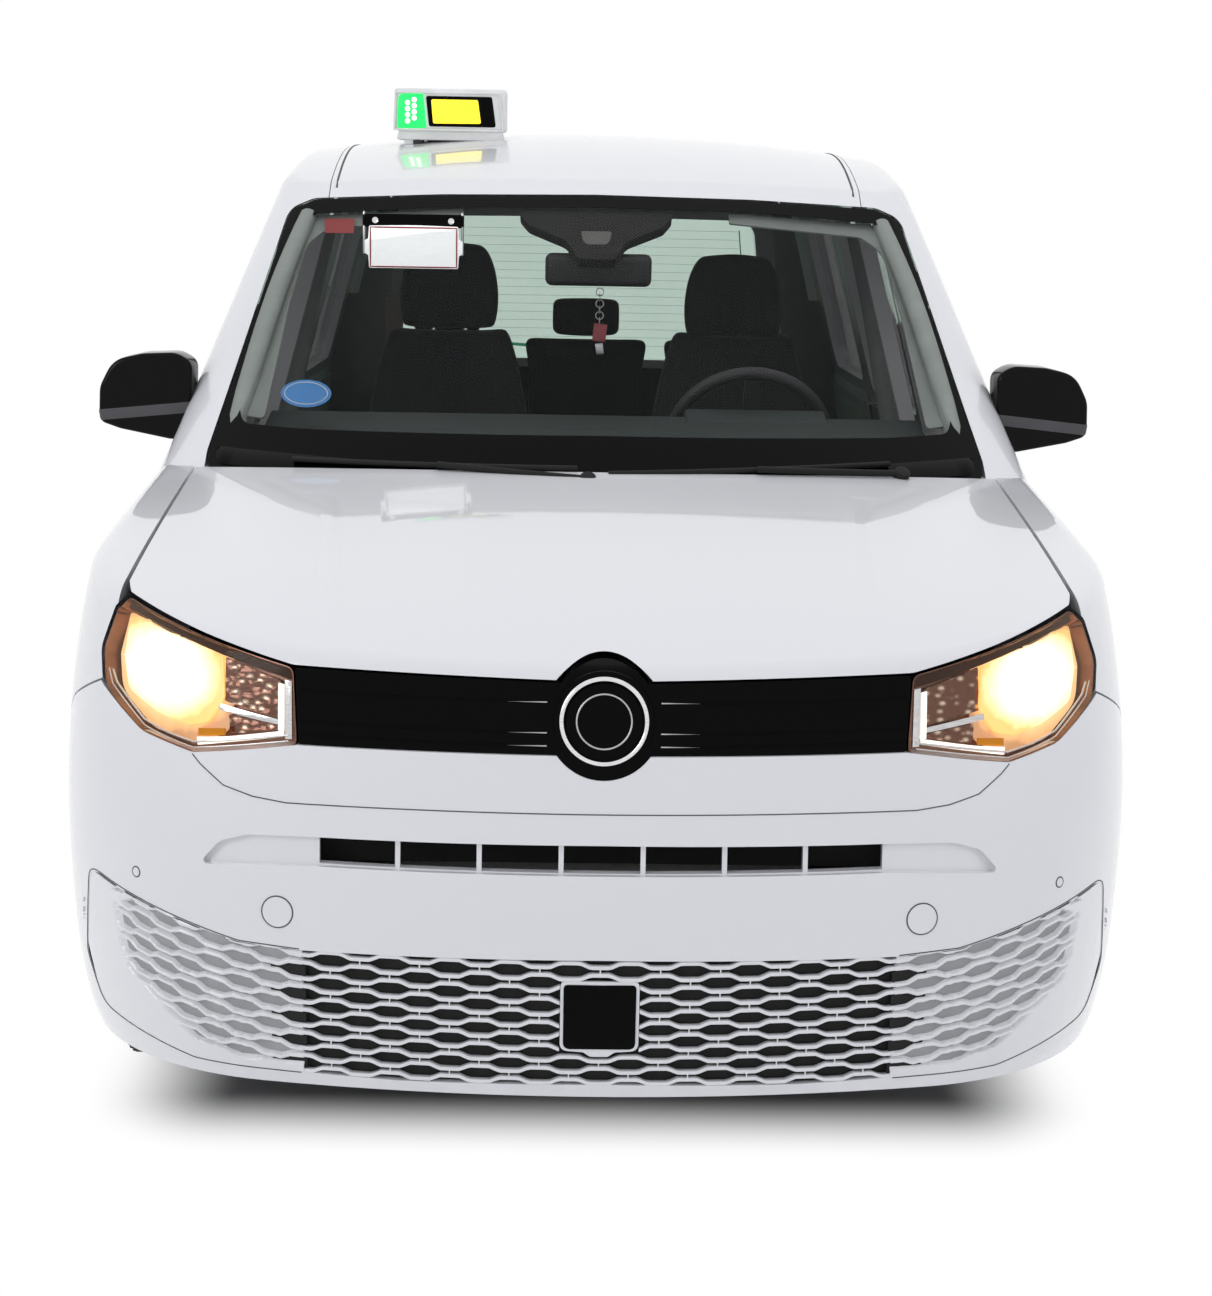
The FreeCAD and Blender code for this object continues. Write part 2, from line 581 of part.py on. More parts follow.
BENCH_SIDE = [(2990, 288.3, 0), (2990, 440, 20), (2930, 470, 30), (2925, 600, 60), (3150, 625, 200),
              (3370, 610, 50), (3450, 900, 300), (3500, 1200, 50), (3590, 1190, 50), (3540, 880, 300),
              (3500, 500.3, 0), (3205.7, 500.3, 0), (3205.7, 288.3, 0)]
bench = prism("side", BENCH_SIDE, 0, -640 * ACROSS, 640 * ACROSS)
bench = bench.cut(slab(2900, 3250, 200, 470, 480, 700)).cut(slab(2900, 3250, 200, 470, -700, -480))
for side in (1, -1):
    room = slab(3236, 3700, 200, 722, 480 if side == 1 else -700, 700 if side == 1 else -480)
    bench = bench.cut(room)
for x in (-430, 0, 430):
    rest = [(s + 1192, z - 165, r) for s, z, r in HEADREST_SIDE]
    bench = bench.fuse(prism("side", rest, 0, (x - 125) * ACROSS, (x + 125) * ACROSS))
shapes["rear_bench"] = biggest(bench.removeSplitter())

# ------------------------------------------------------------------ door mirrors
MIRROR_FRONT = [(884, 1150, 34), (1044, 1143, 34), (1050, 1180, 60), (1038, 1262, 44),
                (905, 1282, 40), (876, 1240, 50)]
housing = prism("front", MIRROR_FRONT, 0, along(1392), along(1482))
housing = rounded(housing, long_edges(housing, lambda box: box.YMax < along(1393)), (32, 24, 16))
housing = rounded(housing, long_edges(housing, lambda box: box.YMin > along(1481)), (10, 6))
arm = slab(1405, 1470, 1146, 1182, 830, 930)
mirror = housing.fuse(rounded(arm, arm.Edges, (9, 6))).removeSplitter()
shapes["left_door_mirror"] = biggest(mirror.cut(upper_body(0)))

# ------------------------------------------------------------------ roof sign
SIGN_X, SIGN_S = -350, 2300
sign_low = at(SIGN_X, SIGN_S, 1812)
sign_half = size["sign_length"] / 2
box_shape = Part.makeBox(size["sign_length"], 88, size["sign_height"],
                         Vector(sign_low.x - sign_half, sign_low.y - 44, sign_low.z))
box_shape = rounded(box_shape, box_shape.Edges, (9, 6))
feet = [Part.makeBox(34, 60, 60, Vector(sign_low.x + dx - 17, sign_low.y - 30, sign_low.z - 50))
        for dx in (-sign_half + 40, sign_half - 40)]
sign = box_shape.fuse(feet).cut(upper_body(-SEAT))
shapes["roof_sign"] = biggest(sign.removeSplitter())

# ------------------------------------------------------------------ plate recess and its two holes
PLATE_Z, PLATE_S = 690, 4489
PLATE_SPACING = 280
gate = shapes["tailgate"].cut(slab(PLATE_S, 4600, PLATE_Z - 62, PLATE_Z + 62, -265, 265))
for x in (-PLATE_SPACING / 2, PLATE_SPACING / 2):
    start = Vector(x, along(PLATE_S) - 18, PLATE_Z * UP)
    gate = gate.cut(Part.makeCylinder(3, 30, start, Vector(0, 1, 0)))
shapes["tailgate"] = biggest(gate)

for name in [name for name in shapes if name.startswith("left_")]:
    shapes[name.replace("left_", "right_")] = mirrored(shapes[name])

# ------------------------------------------------------------------ running gear and engine
nodes = {}       # node name -> document object


def share(value, alias):
    """An expression for a table size as a share of one driving dimension."""
    whole = {"body_width": 1854, "body_length": 4500, "body_height": 1816}[alias]
    return f"{value / whole:.9f} * driving_dimensions.{alias}"


def wheel_high(offset):
    return f"driving_dimensions.tyre_radius + {offset:.3f}"


def body_high(z):
    return share(z, "body_height")


def bind(item, **expressions):
    for prop, text in expressions.items():
        item.setExpression(prop.replace("__", "."), text)
    return item


def place_on(item, x, s, z_text):
    item.setExpression("Placement.Base.x", share(x, "body_width"))
    item.setExpression("Placement.Base.y", share(s - MIDDLE, "body_length"))
    item.setExpression("Placement.Base.z", z_text)
    return item


def block(name, x0, x1, s0, s1, z0_text, height_text):
    item = doc.addObject("Part::Box", name)
    bind(item, Length=share(x1 - x0, "body_width"), Width=share(s1 - s0, "body_length"),
         Height=height_text)
    return place_on(item, x0, s0, z0_text)


def rod(name, x, s, z_text, radius, length, direction):
    item = doc.addObject("Part::Cylinder", name)
    item.Radius = radius
    if isinstance(length, str):
        item.setExpression("Height", length)
    else:
        item.Height = length
    item.Placement.Rotation = Rotation(Vector(0, 0, 1), direction)
    return place_on(item, x, s, z_text)


def joined(name, items):
    item = doc.addObject("Part::MultiFuse", name)
    item.Shapes = items
    item.Refine = True
    return item


def less(name, base, tool):
    item = doc.addObject("Part::Cut", name)
    item.Base = base
    item.Tool = tool
    item.Refine = True
    return item


def mirror_of(name, source):
    item = doc.addObject("Part::Mirroring", name)
    item.Source = source
    item.Normal = Vector(1, 0, 0)
    item.Base = Vector(0, 0, 0)
    return item


def turned(name, points, alias_points):
    """A PartDesign body turned about its own X axis from a profile of (x, radius) points."""
    body = doc.addObject("PartDesign::Body", name)
    plane = [f for f in body.Origin.OriginFeatures if f.Role == "XZ_Plane"][0]
    sketch = body.newObject("Sketcher::SketchObject", name + "_profile")
    sketch.AttachmentSupport = (plane, [""])
    sketch.MapMode = "FlatFace"
    count = len(points)
    for i in range(count):
        a, b = points[i], points[(i + 1) % count]
        sketch.addGeometry(Part.LineSegment(Vector(a[0], a[1], 0), Vector(b[0], b[1], 0)))
    for i in range(count):
        sketch.addConstraint(Sketcher.Constraint("Coincident", i, 2, (i + 1) % count, 1))
    for i, (text_x, text_r) in enumerate(alias_points):
        for kind, text, value in (("DistanceX", text_x, points[i][0]),
                                  ("DistanceY", text_r, points[i][1])):
            index = sketch.addConstraint(Sketcher.Constraint(kind, -1, 1, i, 1, value))
            if text:
                sketch.setExpression(f"Constraints[{index}]", text)
    turn = body.newObject("PartDesign::Revolution", name + "_turn")
    turn.Profile = sketch
    turn.ReferenceAxis = (sketch, ["H_Axis"])
    turn.Angle = 360
    body.Tip = turn
    return body


def wheel_profile(rows):
    """Rows of (share of the tyre's half width, extra x, base radius alias, extra radius)."""
    points = []
    texts = []
    base = {"tyre_radius": TYRE_R, "rim_radius": RIM_R, "": 0}
    for part_x, extra_x, alias, extra_r in rows:
        points.append((part_x * TYRE_W / 2 + extra_x, base[alias] + extra_r))
        text_x = f"{part_x / 2} * driving_dimensions.tyre_width + {extra_x}" if part_x else ""
        text_r = f"driving_dimensions.{alias} + {extra_r}" if alias else ""
        texts.append((text_x, text_r))
    return points, texts


TYRE_ROWS = [
    (-0.80, 0, "tyre_radius", 0), (0.80, 0, "tyre_radius", 0), (0.93, 0, "tyre_radius", -7),
    (0.98, 0, "tyre_radius", -22), (1.0, 0, "tyre_radius", -52), (0.97, 0, "rim_radius", 24),
    (0.88, 0, "rim_radius", 8), (0.86, 0, "rim_radius", 0), (-0.86, 0, "rim_radius", 0),
    (-0.88, 0, "rim_radius", 8), (-0.97, 0, "rim_radius", 24), (-1.0, 0, "tyre_radius", -52),
    (-0.98, 0, "tyre_radius", -22), (-0.93, 0, "tyre_radius", -7),
]
RIM_ROWS = [
    (-0.94, 0, "rim_radius", 0), (0.94, 0, "rim_radius", 0), (0.94, 0, "rim_radius", -12),
    (0, 64, "rim_radius", -17), (0, 56, "", 70), (0, 48, "", 34), (0, 48, "", 0), (0, 30, "", 0),
    (0, 30, "", 46), (0, 0, "", 46), (0, 0, "", 140), (0, 12, "", 140), (0, 12, "", 62),
    (0, 32, "", 62), (0, 42, "rim_radius", -17), (-0.94, 0, "rim_radius", -12),
]


def wheel(corner, x, s, outward):
    turn = Rotation(Vector(0, 0, 1), 0 if outward > 0 else 180)
    tyre = turned(f"{corner}_tyre", *wheel_profile(TYRE_ROWS))
    rim = turned(f"{corner}_rim", *wheel_profile(RIM_ROWS))
    # five windows between the spokes
    plane = [f for f in rim.Origin.OriginFeatures if f.Role == "YZ_Plane"][0]
    sketch = rim.newObject("Sketcher::SketchObject", f"{corner}_rim_windows")
    sketch.AttachmentSupport = (plane, [""])
    sketch.MapMode = "FlatFace"
    start = 0
    for i in range(5):
        middle = 2 * math.pi * i / 5 + math.pi / 2
        corners = [(88, -0.36), (RIM_R - 28, -0.44), (RIM_R - 22, 0), (RIM_R - 28, 0.44), (88, 0.36)]
        points = [Vector(r * math.cos(middle + a), r * math.sin(middle + a), 0) for r, a in corners]
        for j in range(5):
            sketch.addGeometry(Part.LineSegment(points[j], points[(j + 1) % 5]))
        for j in range(5):
            sketch.addConstraint(Sketcher.Constraint("Coincident", start + j, 2,
                                                     start + (j + 1) % 5, 1))
        start += 5
    pocket = rim.newObject("PartDesign::Pocket", f"{corner}_rim_pocket")
    pocket.Profile = sketch
    pocket.Type = 0
    pocket.Length = 70
    pocket.Reversed = True
    rim.Tip = pocket
    for item in (tyre, rim):
        item.Placement.Rotation = turn
        place_on(item, x * outward, s, "driving_dimensions.tyre_radius")
        nodes[item.Name] = item


wheel("front_left", FRONT_WHEEL_X, FRONT_AXLE, 1)
wheel("front_right", FRONT_WHEEL_X, FRONT_AXLE, -1)
wheel("rear_left", REAR_WHEEL_X, REAR_AXLE, 1)
wheel("rear_right", REAR_WHEEL_X, REAR_AXLE, -1)

UPRIGHT = Vector(0, 0, 1)
SIDEWAYS = Vector(1, 0, 0)
PIN_REACH = 109                      # half the knuckle's height between its two arms
stub_length = f"{share(FRONT_WHEEL_X - KINGPIN_X, 'body_width')} + {30 - SEAT}"
nodes["left_knuckle"] = joined("left_knuckle", [
    rod("knuckle_post", KINGPIN_X, FRONT_AXLE, wheel_high(-PIN_REACH), 24, 2 * PIN_REACH, UPRIGHT),
    rod("knuckle_pin", KINGPIN_X, FRONT_AXLE, wheel_high(-PIN_REACH - 16), 9,
        2 * PIN_REACH + 32, UPRIGHT),
    rod("knuckle_stub", KINGPIN_X, FRONT_AXLE, wheel_high(0), 36, stub_length, SIDEWAYS),
])
nodes["right_knuckle"] = mirror_of("right_knuckle", nodes["left_knuckle"])

subframe_parts = [block("cross_member", -482, 482, 850, 920, wheel_high(-80), "70")]
subframe_holes = []
for side in (1, -1):
    tag = "left" if side == 1 else "right"
    x0, x1 = (462, 482) if side == 1 else (-482, -462)
    subframe_parts.append(block(f"{tag}_tower", x0, x1, 850, 920, wheel_high(-131), "262"))
    x0, x1 = (470, KINGPIN_X) if side == 1 else (-KINGPIN_X, -470)
    for level, offset in (("lower", -131), ("upper", 111)):
        subframe_parts.append(block(f"{tag}_{level}_arm", x0, x1, 862, 908, wheel_high(offset), "20"))
        subframe_parts.append(rod(f"{tag}_{level}_eye", side * KINGPIN_X, FRONT_AXLE,
                                  wheel_high(offset), 26, 20, UPRIGHT))
        subframe_holes.append(rod(f"{tag}_{level}_hole", side * KINGPIN_X, FRONT_AXLE,
                                  wheel_high(offset - 1), 10, 22, UPRIGHT))
nodes["front_subframe"] = less("front_subframe", joined("subframe_bars", subframe_parts),
                               joined("subframe_holes", subframe_holes))

AXLE_ARM = [(3080, 215, 0), (3230, 215, 60), (3660, 286, 20), (3680, 330, 20), (3660, 366, 20),
            (3600, 366, 60), (3270, 261.7, 60), (3080, 261.7, 0)]
tube = rod("axle_tube", -(REAR_WHEEL_X + 30), REAR_AXLE, "driving_dimensions.tyre_radius", 36,
           share(2 * REAR_WHEEL_X + 60, "body_width"), SIDEWAYS)
tube.setExpression("Placement.Base.x", f"-{share(REAR_WHEEL_X, 'body_width')} - {30 - SEAT}")
tube.setExpression("Height", f"{share(2 * REAR_WHEEL_X, 'body_width')} + {2 * (30 - SEAT)}")
axle_arms = []
for side in (1, -1):
    shape = prism("side", AXLE_ARM, 0, 400 * ACROSS, 460 * ACROSS)
    item = doc.addObject("Part::Feature", "left_axle_arm" if side == 1 else "right_axle_arm")
    item.Shape = shape if side == 1 else mirrored(shape)
    axle_arms.append(item)
nodes["rear_axle"] = joined("rear_axle", [tube] + axle_arms)

engine = block("engine_bulk", -290, 270, 440, 800, body_high(300), body_high(520))
lugs = block("engine_lugs", -450, 450, 570, 690, body_high(470 + SEAT), body_high(34))
nodes["engine_block"] = joined("engine_block", [engine, lugs])
core = block("radiator_core", -330, 330, 150, 186, body_high(262), body_high(450))
ears = block("radiator_ears", -(380 - SEAT), 380 - SEAT, 156, 180, body_high(400), body_high(50))
nodes["radiator"] = joined("radiator", [core, ears])
tank = block("tank_bulk", -480, -80, 2350, 3020, body_high(192), body_high(262 - SEAT - 192))
nodes["fuel_tank"] = tank
exhaust_parts = [
    rod("exhaust_pipe", 300, 1240, body_high(222), 24, share(3120, "body_length"), Vector(0, 1, 0)),
    block("exhaust_silencer", 200, 460, 3900, 4260, body_high(200), body_high(120)),
    block("exhaust_front_hanger", 290, 310, 2000, 2030, body_high(222), body_high(40 - SEAT)),
    block("exhaust_rear_hanger", 320, 350, 4040, 4070, body_high(300), body_high(174 - SEAT)),
]
nodes["exhaust"] = joined("exhaust", exhaust_parts)

ring_radius = size["steering_wheel_radius"]
steer_turn = Rotation(Vector(0, 0, 1), toward_driver)
rim_ring = doc.addObject("Part::Torus", "steering_rim")
bind(rim_ring, Radius1="driving_dimensions.steering_wheel_radius - 14")
rim_ring.Radius2 = 14
boss = doc.addObject("Part::Cylinder", "steering_boss")
boss.Radius = 58
boss.Height = 34
boss.Placement.Base = Vector(0, 0, -16)
spokes = []
for i, angle in enumerate((0, 180, 270)):
    spoke = doc.addObject("Part::Box", f"steering_spoke_{i}")
    spoke.setExpression("Length", "driving_dimensions.steering_wheel_radius - 14")
    spoke.Width = 34
    spoke.Height = 12
    spoke.Placement = Placement(Vector(0, 0, 0), Rotation(Vector(0, 0, 1), angle)).multiply(
        Placement(Vector(0, -17, -6), Rotation()))
    spokes.append(spoke)
steering = joined("steering_wheel", [rim_ring, boss] + spokes)
steering.Placement = Placement(wheel_centre, steer_turn)
nodes["steering_wheel"] = steering

# ------------------------------------------------------------------ computed shapes become objects
for name, shape in shapes.items():
    item = doc.addObject("Part::Feature", name)
    item.Shape = shape
    nodes[name] = item

doc.recompute()
bad = []
for item in doc.Objects:
    if "Invalid" in item.State or "Error" in item.State:
        bad.append(f"{item.Name}: {item.State}")
for name, item in nodes.items():
    item.Label = name
    shape = item.Shape
    if shape.isNull() or not shape.isValid() or len(shape.Solids) != 1:
        bad.append(f"{name}: the shape is not one valid solid")
if bad:
    raise RuntimeError("; ".join(bad))

for name, item in nodes.items():
    item.Shape.exportStep(f"parts/{name}.step")
print(f"wrote {len(nodes)} solids")
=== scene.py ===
import math

import bpy
from mathutils import Matrix, Vector


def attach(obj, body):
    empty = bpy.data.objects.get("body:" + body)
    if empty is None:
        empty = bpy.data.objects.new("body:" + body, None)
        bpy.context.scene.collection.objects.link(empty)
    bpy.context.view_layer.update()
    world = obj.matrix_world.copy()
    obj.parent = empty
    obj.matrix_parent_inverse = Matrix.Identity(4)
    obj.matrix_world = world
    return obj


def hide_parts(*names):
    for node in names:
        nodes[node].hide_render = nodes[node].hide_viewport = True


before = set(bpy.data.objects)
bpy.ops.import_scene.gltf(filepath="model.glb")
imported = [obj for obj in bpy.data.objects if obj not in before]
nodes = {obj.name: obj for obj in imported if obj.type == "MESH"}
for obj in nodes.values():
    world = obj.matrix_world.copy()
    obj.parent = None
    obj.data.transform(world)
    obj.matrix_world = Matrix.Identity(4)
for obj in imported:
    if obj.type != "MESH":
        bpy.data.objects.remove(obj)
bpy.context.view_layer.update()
standIns = []  # pieces that stand for CAD nodes, whose nodes are hidden at the end
print("loaded", len(nodes), "nodes")


# picking
def only(*pieces):
    active = bpy.context.view_layer.objects.active
    if active and active.mode != "OBJECT":
        bpy.ops.object.mode_set(mode="OBJECT")
    bpy.ops.object.select_all(action="DESELECT")
    for piece in pieces:
        piece.select_set(True)
        bpy.context.view_layer.objects.active = piece


def editing(piece, pick="SELECT"):
    only(piece)
    bpy.ops.object.mode_set(mode="EDIT")
    bpy.ops.mesh.select_all(action=pick)


def pickFaces(piece, test):
    # ends in edit mode with faces chosen by their place and normal
    editing(piece, "DESELECT")
    bpy.ops.mesh.select_mode(type="FACE")
    bpy.ops.object.mode_set(mode="OBJECT")
    for face in piece.data.polygons:
        face.select = bool(test(face.center, face.normal))
    bpy.ops.object.mode_set(mode="EDIT")


def modify(piece, kind, **settings):
    only(piece)
    modifier = piece.modifiers.new(kind.lower(), kind)
    for key, value in settings.items():
        setattr(modifier, key, value)
    bpy.ops.object.modifier_apply(modifier=modifier.name)


def outward(piece):
    editing(piece)
    bpy.ops.mesh.remove_doubles(threshold=0.00002)
    bpy.ops.mesh.normals_make_consistent(inside=False)
    bpy.ops.object.mode_set(mode="OBJECT")


def settle(piece, name, finish, body="cab", angle=40):
    only(piece)
    bpy.ops.object.transform_apply(location=True, rotation=True, scale=True)
    bpy.ops.object.shade_smooth_by_angle(angle=math.radians(angle))
    piece.name = piece.data.name = name
    piece.data.materials.clear()
    piece.data.materials.append(finish.material)
    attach(piece, body)
    return piece


def copyOf(piece):
    only(piece)
    bpy.ops.object.duplicate()
    return bpy.context.object


def joined(pieces):
    only(*pieces)
    if len(pieces) > 1:
        bpy.ops.object.join()
    return bpy.context.object


def twin(piece, name, finish, body="cab", angle=40):
    # the same piece on the other side of the car
    other = copyOf(piece)
    for vertex in other.data.vertices:
        vertex.co.x = -vertex.co.x
    editing(other)
    bpy.ops.mesh.flip_normals()
    bpy.ops.object.mode_set(mode="OBJECT")
    other.parent = None
    return settle(other, name, finish, body, angle)


def bothSides(piece, name, finish, body="cab", angle=40):
    # name and body hold the word side, which becomes left and right
    settle(piece, name.replace("side", "left"), finish, body.replace("side", "left"), angle)
    twin(piece, name.replace("side", "right"), finish, body.replace("side", "right"), angle)


# starting shapes
views = {"front": ((1, 0, 0), (0, 0, 1), (0, 1, 0)), "rear": ((1, 0, 0), (0, 0, 1), (0, -1, 0)),
         "left": ((0, 1, 0), (0, 0, 1), (-1, 0, 0)), "right": ((0, 1, 0), (0, 0, 1), (1, 0, 0)),
         "top": ((1, 0, 0), (0, 1, 0), (0, 0, -1)), "under": ((1, 0, 0), (0, 1, 0), (0, 0, 1))}
mm = 0.001
halfLength = 2250  # mm from the nose to the middle of the car
origin = (0, 0, 0)


def spot(view, a, b, depth=0.0):
    across, up, into = (Vector(v) for v in views[view])
    return across * a + up * b + Vector([abs(v) for v in into]) * depth


def fromNose(s):
    # millimetres behind the front of the car, as a place along Y
    return (s - halfLength) * mm


def oblong(a0, b0, a1, b1, radius):
    return [(a0, b0, radius), (a1, b0, radius), (a1, b1, radius), (a0, b1, radius)]


def rounded(points, steps=5):
    # (a, b, radius) corners in mm to an outline in metres
    outline = []
    count = len(points)
    for i, (a, b, radius) in enumerate(points):
        here = Vector((a, b))
        before = Vector(points[i - 1][:2]) - here
        after = Vector(points[(i + 1) % count][:2]) - here
        if radius < 0.01 or before.length < 0.01 or after.length < 0.01:
            outline.append(here * mm)
            continue
        turn = before.angle(after)
        reach = min(radius / math.tan(turn / 2), before.length * 0.48, after.length * 0.48)
        start, end = here + before.normalized() * reach, here + after.normalized() * reach
        for k in range(steps + 1):
            t = k / steps
            outline.append((start * (1 - t) ** 2 + here * 2 * t * (1 - t) + end * t * t) * mm)
    return outline


def outlineOf(view, corners):
    # corners in mm, with or without a radius, which count from the nose when seen from a side;
    # Vectors are left alone
    if isinstance(corners[0], Vector):
        return corners
    start = halfLength if view in ("left", "right") else 0
    if len(corners[0]) == 2:
        return [((a - start) * mm, b * mm) for a, b in corners]
    return rounded([(a - start, b, radius) for a, b, radius in corners])


def flat(view, corners, depth=0.0):
    outline = outlineOf(view, corners)
    only()
    bpy.ops.mesh.primitive_circle_add(vertices=len(outline), radius=1, fill_type="NGON")
    piece = bpy.context.object
    for vertex, (a, b) in zip(piece.data.vertices, outline):
        vertex.co = spot(view, a, b, depth)
    return piece


def sliced(piece, view, step):
    # cuts a flat face into a grid so that it can bend
    across, up, _ = (Vector(v) for v in views[view])
    for way in (across, up):
        reach = [way.dot(vertex.co) for vertex in piece.data.vertices]
        low, high = min(reach), max(reach)
        count = max(1, round((high - low) / step))
        editing(piece)
        bpy.ops.mesh.quads_convert_to_tris(ngon_method="BEAUTY")
        for k in range(1, count):
            bpy.ops.mesh.select_all(action="SELECT")
            bpy.ops.mesh.bisect(plane_co=way * (low + (high - low) * k / count), plane_no=way)
        bpy.ops.object.mode_set(mode="OBJECT")
    return piece


def touch(view, a, b, names):
    # the first point of the named nodes met from that side, with its normal
    across, up, into = (Vector(v) for v in views[view])
    eye = across * a + up * b - into * 4
    met = [nodes[name].ray_cast(eye, into) for name in names]
    met = [(place, normal) for found, place, normal, _ in met if found]
    return min(met, key=lambda one: (one[0] - eye).length) if met else None


def lay(piece, view, names, out):
    # drops every point on to the surface and lifts it by out along the normal
    across, up, _ = (Vector(v) for v in views[view])
    missed = []
    placed = []
    for vertex in piece.data.vertices:
        met = touch(view, across.dot(vertex.co), up.dot(vertex.co), names)
        if met:
            vertex.co = met[0] + met[1] * out
            placed.append(vertex.index)
        else:
            missed.append(vertex.index)
    for i in missed:
        here = piece.data.vertices[i].co
        near = min(placed, key=lambda k: (across.dot(piece.data.vertices[k].co - here)) ** 2
                   + (up.dot(piece.data.vertices[k].co - here)) ** 2)
        close = piece.data.vertices[near].co
        piece.data.vertices[i].co = here + (close - here).project(Vector(views[view][2]))
    return piece


def skin(view, outline, names, out=0.001, thick=0.002, step=0.03, bevel=0.0):
    # a thin cover laid on the body's surface
    piece = lay(sliced(flat(view, outline), view, step), view, names, out)
    faceTo(piece, view)
    modify(piece, "SOLIDIFY", thickness=thick, offset=-1)
    if bevel:
        modify(piece, "BEVEL", width=bevel, segments=2, limit_method="ANGLE")
    return piece


def faceTo(piece, view):
    # turns the faces of an open sheet towards the viewer
    into = Vector(views[view][2])
    total = sum((face.normal.dot(into) * face.area for face in piece.data.polygons), 0.0)
    if total > 0:
        editing(piece)
        bpy.ops.mesh.flip_normals()
        bpy.ops.object.mode_set(mode="OBJECT")


def slab(view, outline, near, far, bevel=0.0, segments=3):
    # an outline pushed through from one depth to another
    piece = flat(view, outline, near)
    editing(piece)
    way = Vector([abs(v) for v in views[view][2]]) * (far - near)
    bpy.ops.mesh.extrude_region_move(TRANSFORM_OT_translate={"value": way})
    bpy.ops.object.mode_set(mode="OBJECT")
    outward(piece)
    if bevel:
        modify(piece, "BEVEL", width=bevel, segments=segments, limit_method="ANGLE",
               angle_limit=math.radians(40))
    return piece


def block(size, centre, bevel=0.004, segments=3, turn=(0, 0, 0)):
    only()
    bpy.ops.mesh.primitive_cube_add(size=1, location=centre,
                                    rotation=[math.radians(v) for v in turn])
    piece = bpy.context.object
    piece.scale = size
    bpy.ops.object.transform_apply(location=False, rotation=False, scale=True)
    modify(piece, "BEVEL", width=min(bevel, min(size) * 0.45), segments=segments,
           limit_method="ANGLE")
    bpy.ops.object.transform_apply(location=True, rotation=True, scale=True)
    return piece


def wire(points, radius, closed=False, resolution=3, smooth=False):
    # a round bar through points
    only()
    path = bpy.data.curves.new("path", "CURVE")
    path.dimensions = "3D"
    spline = path.splines.new("NURBS" if smooth else "POLY")
    spline.points.add(len(points) - 1)
    for point, place in zip(spline.points, points):
        point.co = (*place, 1)
    if smooth:
        spline.order_u = 3
        spline.use_endpoint_u = True
    spline.use_cyclic_u = closed
    path.bevel_depth = radius
    path.bevel_resolution = resolution
    path.use_fill_caps = not closed
    piece = bpy.data.objects.new("path", path)
    bpy.context.scene.collection.objects.link(piece)
    only(piece)
    bpy.ops.object.convert(target="MESH")
    piece = bpy.context.object
    outward(piece)
    return piece


def along(points, step, closed=False):
    # the same route with points no further apart than step
    route = []
    ends = list(points) + ([points[0]] if closed else [])
    for start, end in zip(ends, ends[1:]):
        start, end = Vector(start), Vector(end)
        count = max(1, math.ceil((end - start).length / step))
        route += [start.lerp(end, k / count) for k in range(count)]
    return route + ([] if closed else [Vector(ends[-1])])


def traced(view, points, names, radius, out=0.0, step=0.02, closed=False):
    # a round bar laid along a route on the body's surface
    places = []
    for a, b in along(points, step, closed):
        met = touch(view, a, b, names)
        if met:
            places.append(met[0] + met[1] * out)
    return wire(places, radius, closed)


# from Z to an axis
turned = {"X": (0, math.pi / 2, 0), "Y": (math.pi / 2, 0, 0), "Z": (0, 0, 0)}


def wheelOf(radius, thick, centre, axis="Y", vertices=48, bevel=0.001, inset=0.0, sink=0.0):
    # a round plate, with a raised rim when it has an inset
    only()
    bpy.ops.mesh.primitive_cylinder_add(vertices=vertices, radius=radius, depth=thick,
                                        location=centre, rotation=turned[axis])
    piece = bpy.context.object
    bpy.ops.object.transform_apply(location=True, rotation=True, scale=True)
    if inset:
        pickFaces(piece, lambda at, normal: abs(normal["XYZ".index(axis)]) > 0.9)
        bpy.ops.mesh.inset(thickness=inset, depth=-sink)
        bpy.ops.object.mode_set(mode="OBJECT")
    modify(piece, "BEVEL", width=bevel, segments=2, limit_method="ANGLE")
    return piece


def hoop(major, minor, centre, axis="Y", segments=64):
    only()
    bpy.ops.mesh.primitive_torus_add(major_radius=major, minor_radius=minor, location=centre,
                                     rotation=turned[axis], major_segments=segments,
                                     minor_segments=12)
    piece = bpy.context.object
    bpy.ops.object.transform_apply(location=True, rotation=True, scale=True)
    return piece


# finishes
class Reading:
    def __init__(self, finish, socket):
        self.finish, self.socket = finish, socket

    def maths(self, operation, first, second=None):
        inputs = {0: first} if second is None else {0: first, 1: second}
        return self.finish.node("ShaderNodeMath", {"operation": operation}, inputs)

    def __add__(self, other):
        return self.maths("ADD", self, other)

    def __sub__(self, other):
        return self.maths("SUBTRACT", self, other)

    def __rsub__(self, other):
        return self.maths("SUBTRACT", other, self)

    def __mul__(self, other):
        return self.maths("MULTIPLY", self, other)

    def __truediv__(self, other):
        return self.maths("DIVIDE", self, other)

    def __abs__(self):
        return self.maths("ABSOLUTE", self)

    def __pow__(self, other):
        return self.maths("POWER", self, other)

    def larger(self, other):
        return self.maths("MAXIMUM", self, other)

    def wave(self):
        return self.maths("SINE", self)

    def rise(self, low, high):
        # 0 below low, 1 above high, smooth between
        return self.finish.node("ShaderNodeMapRange", {"interpolation_type": "SMOOTHSTEP"},
                                {"Value": self, "From Min": low, "From Max": high})


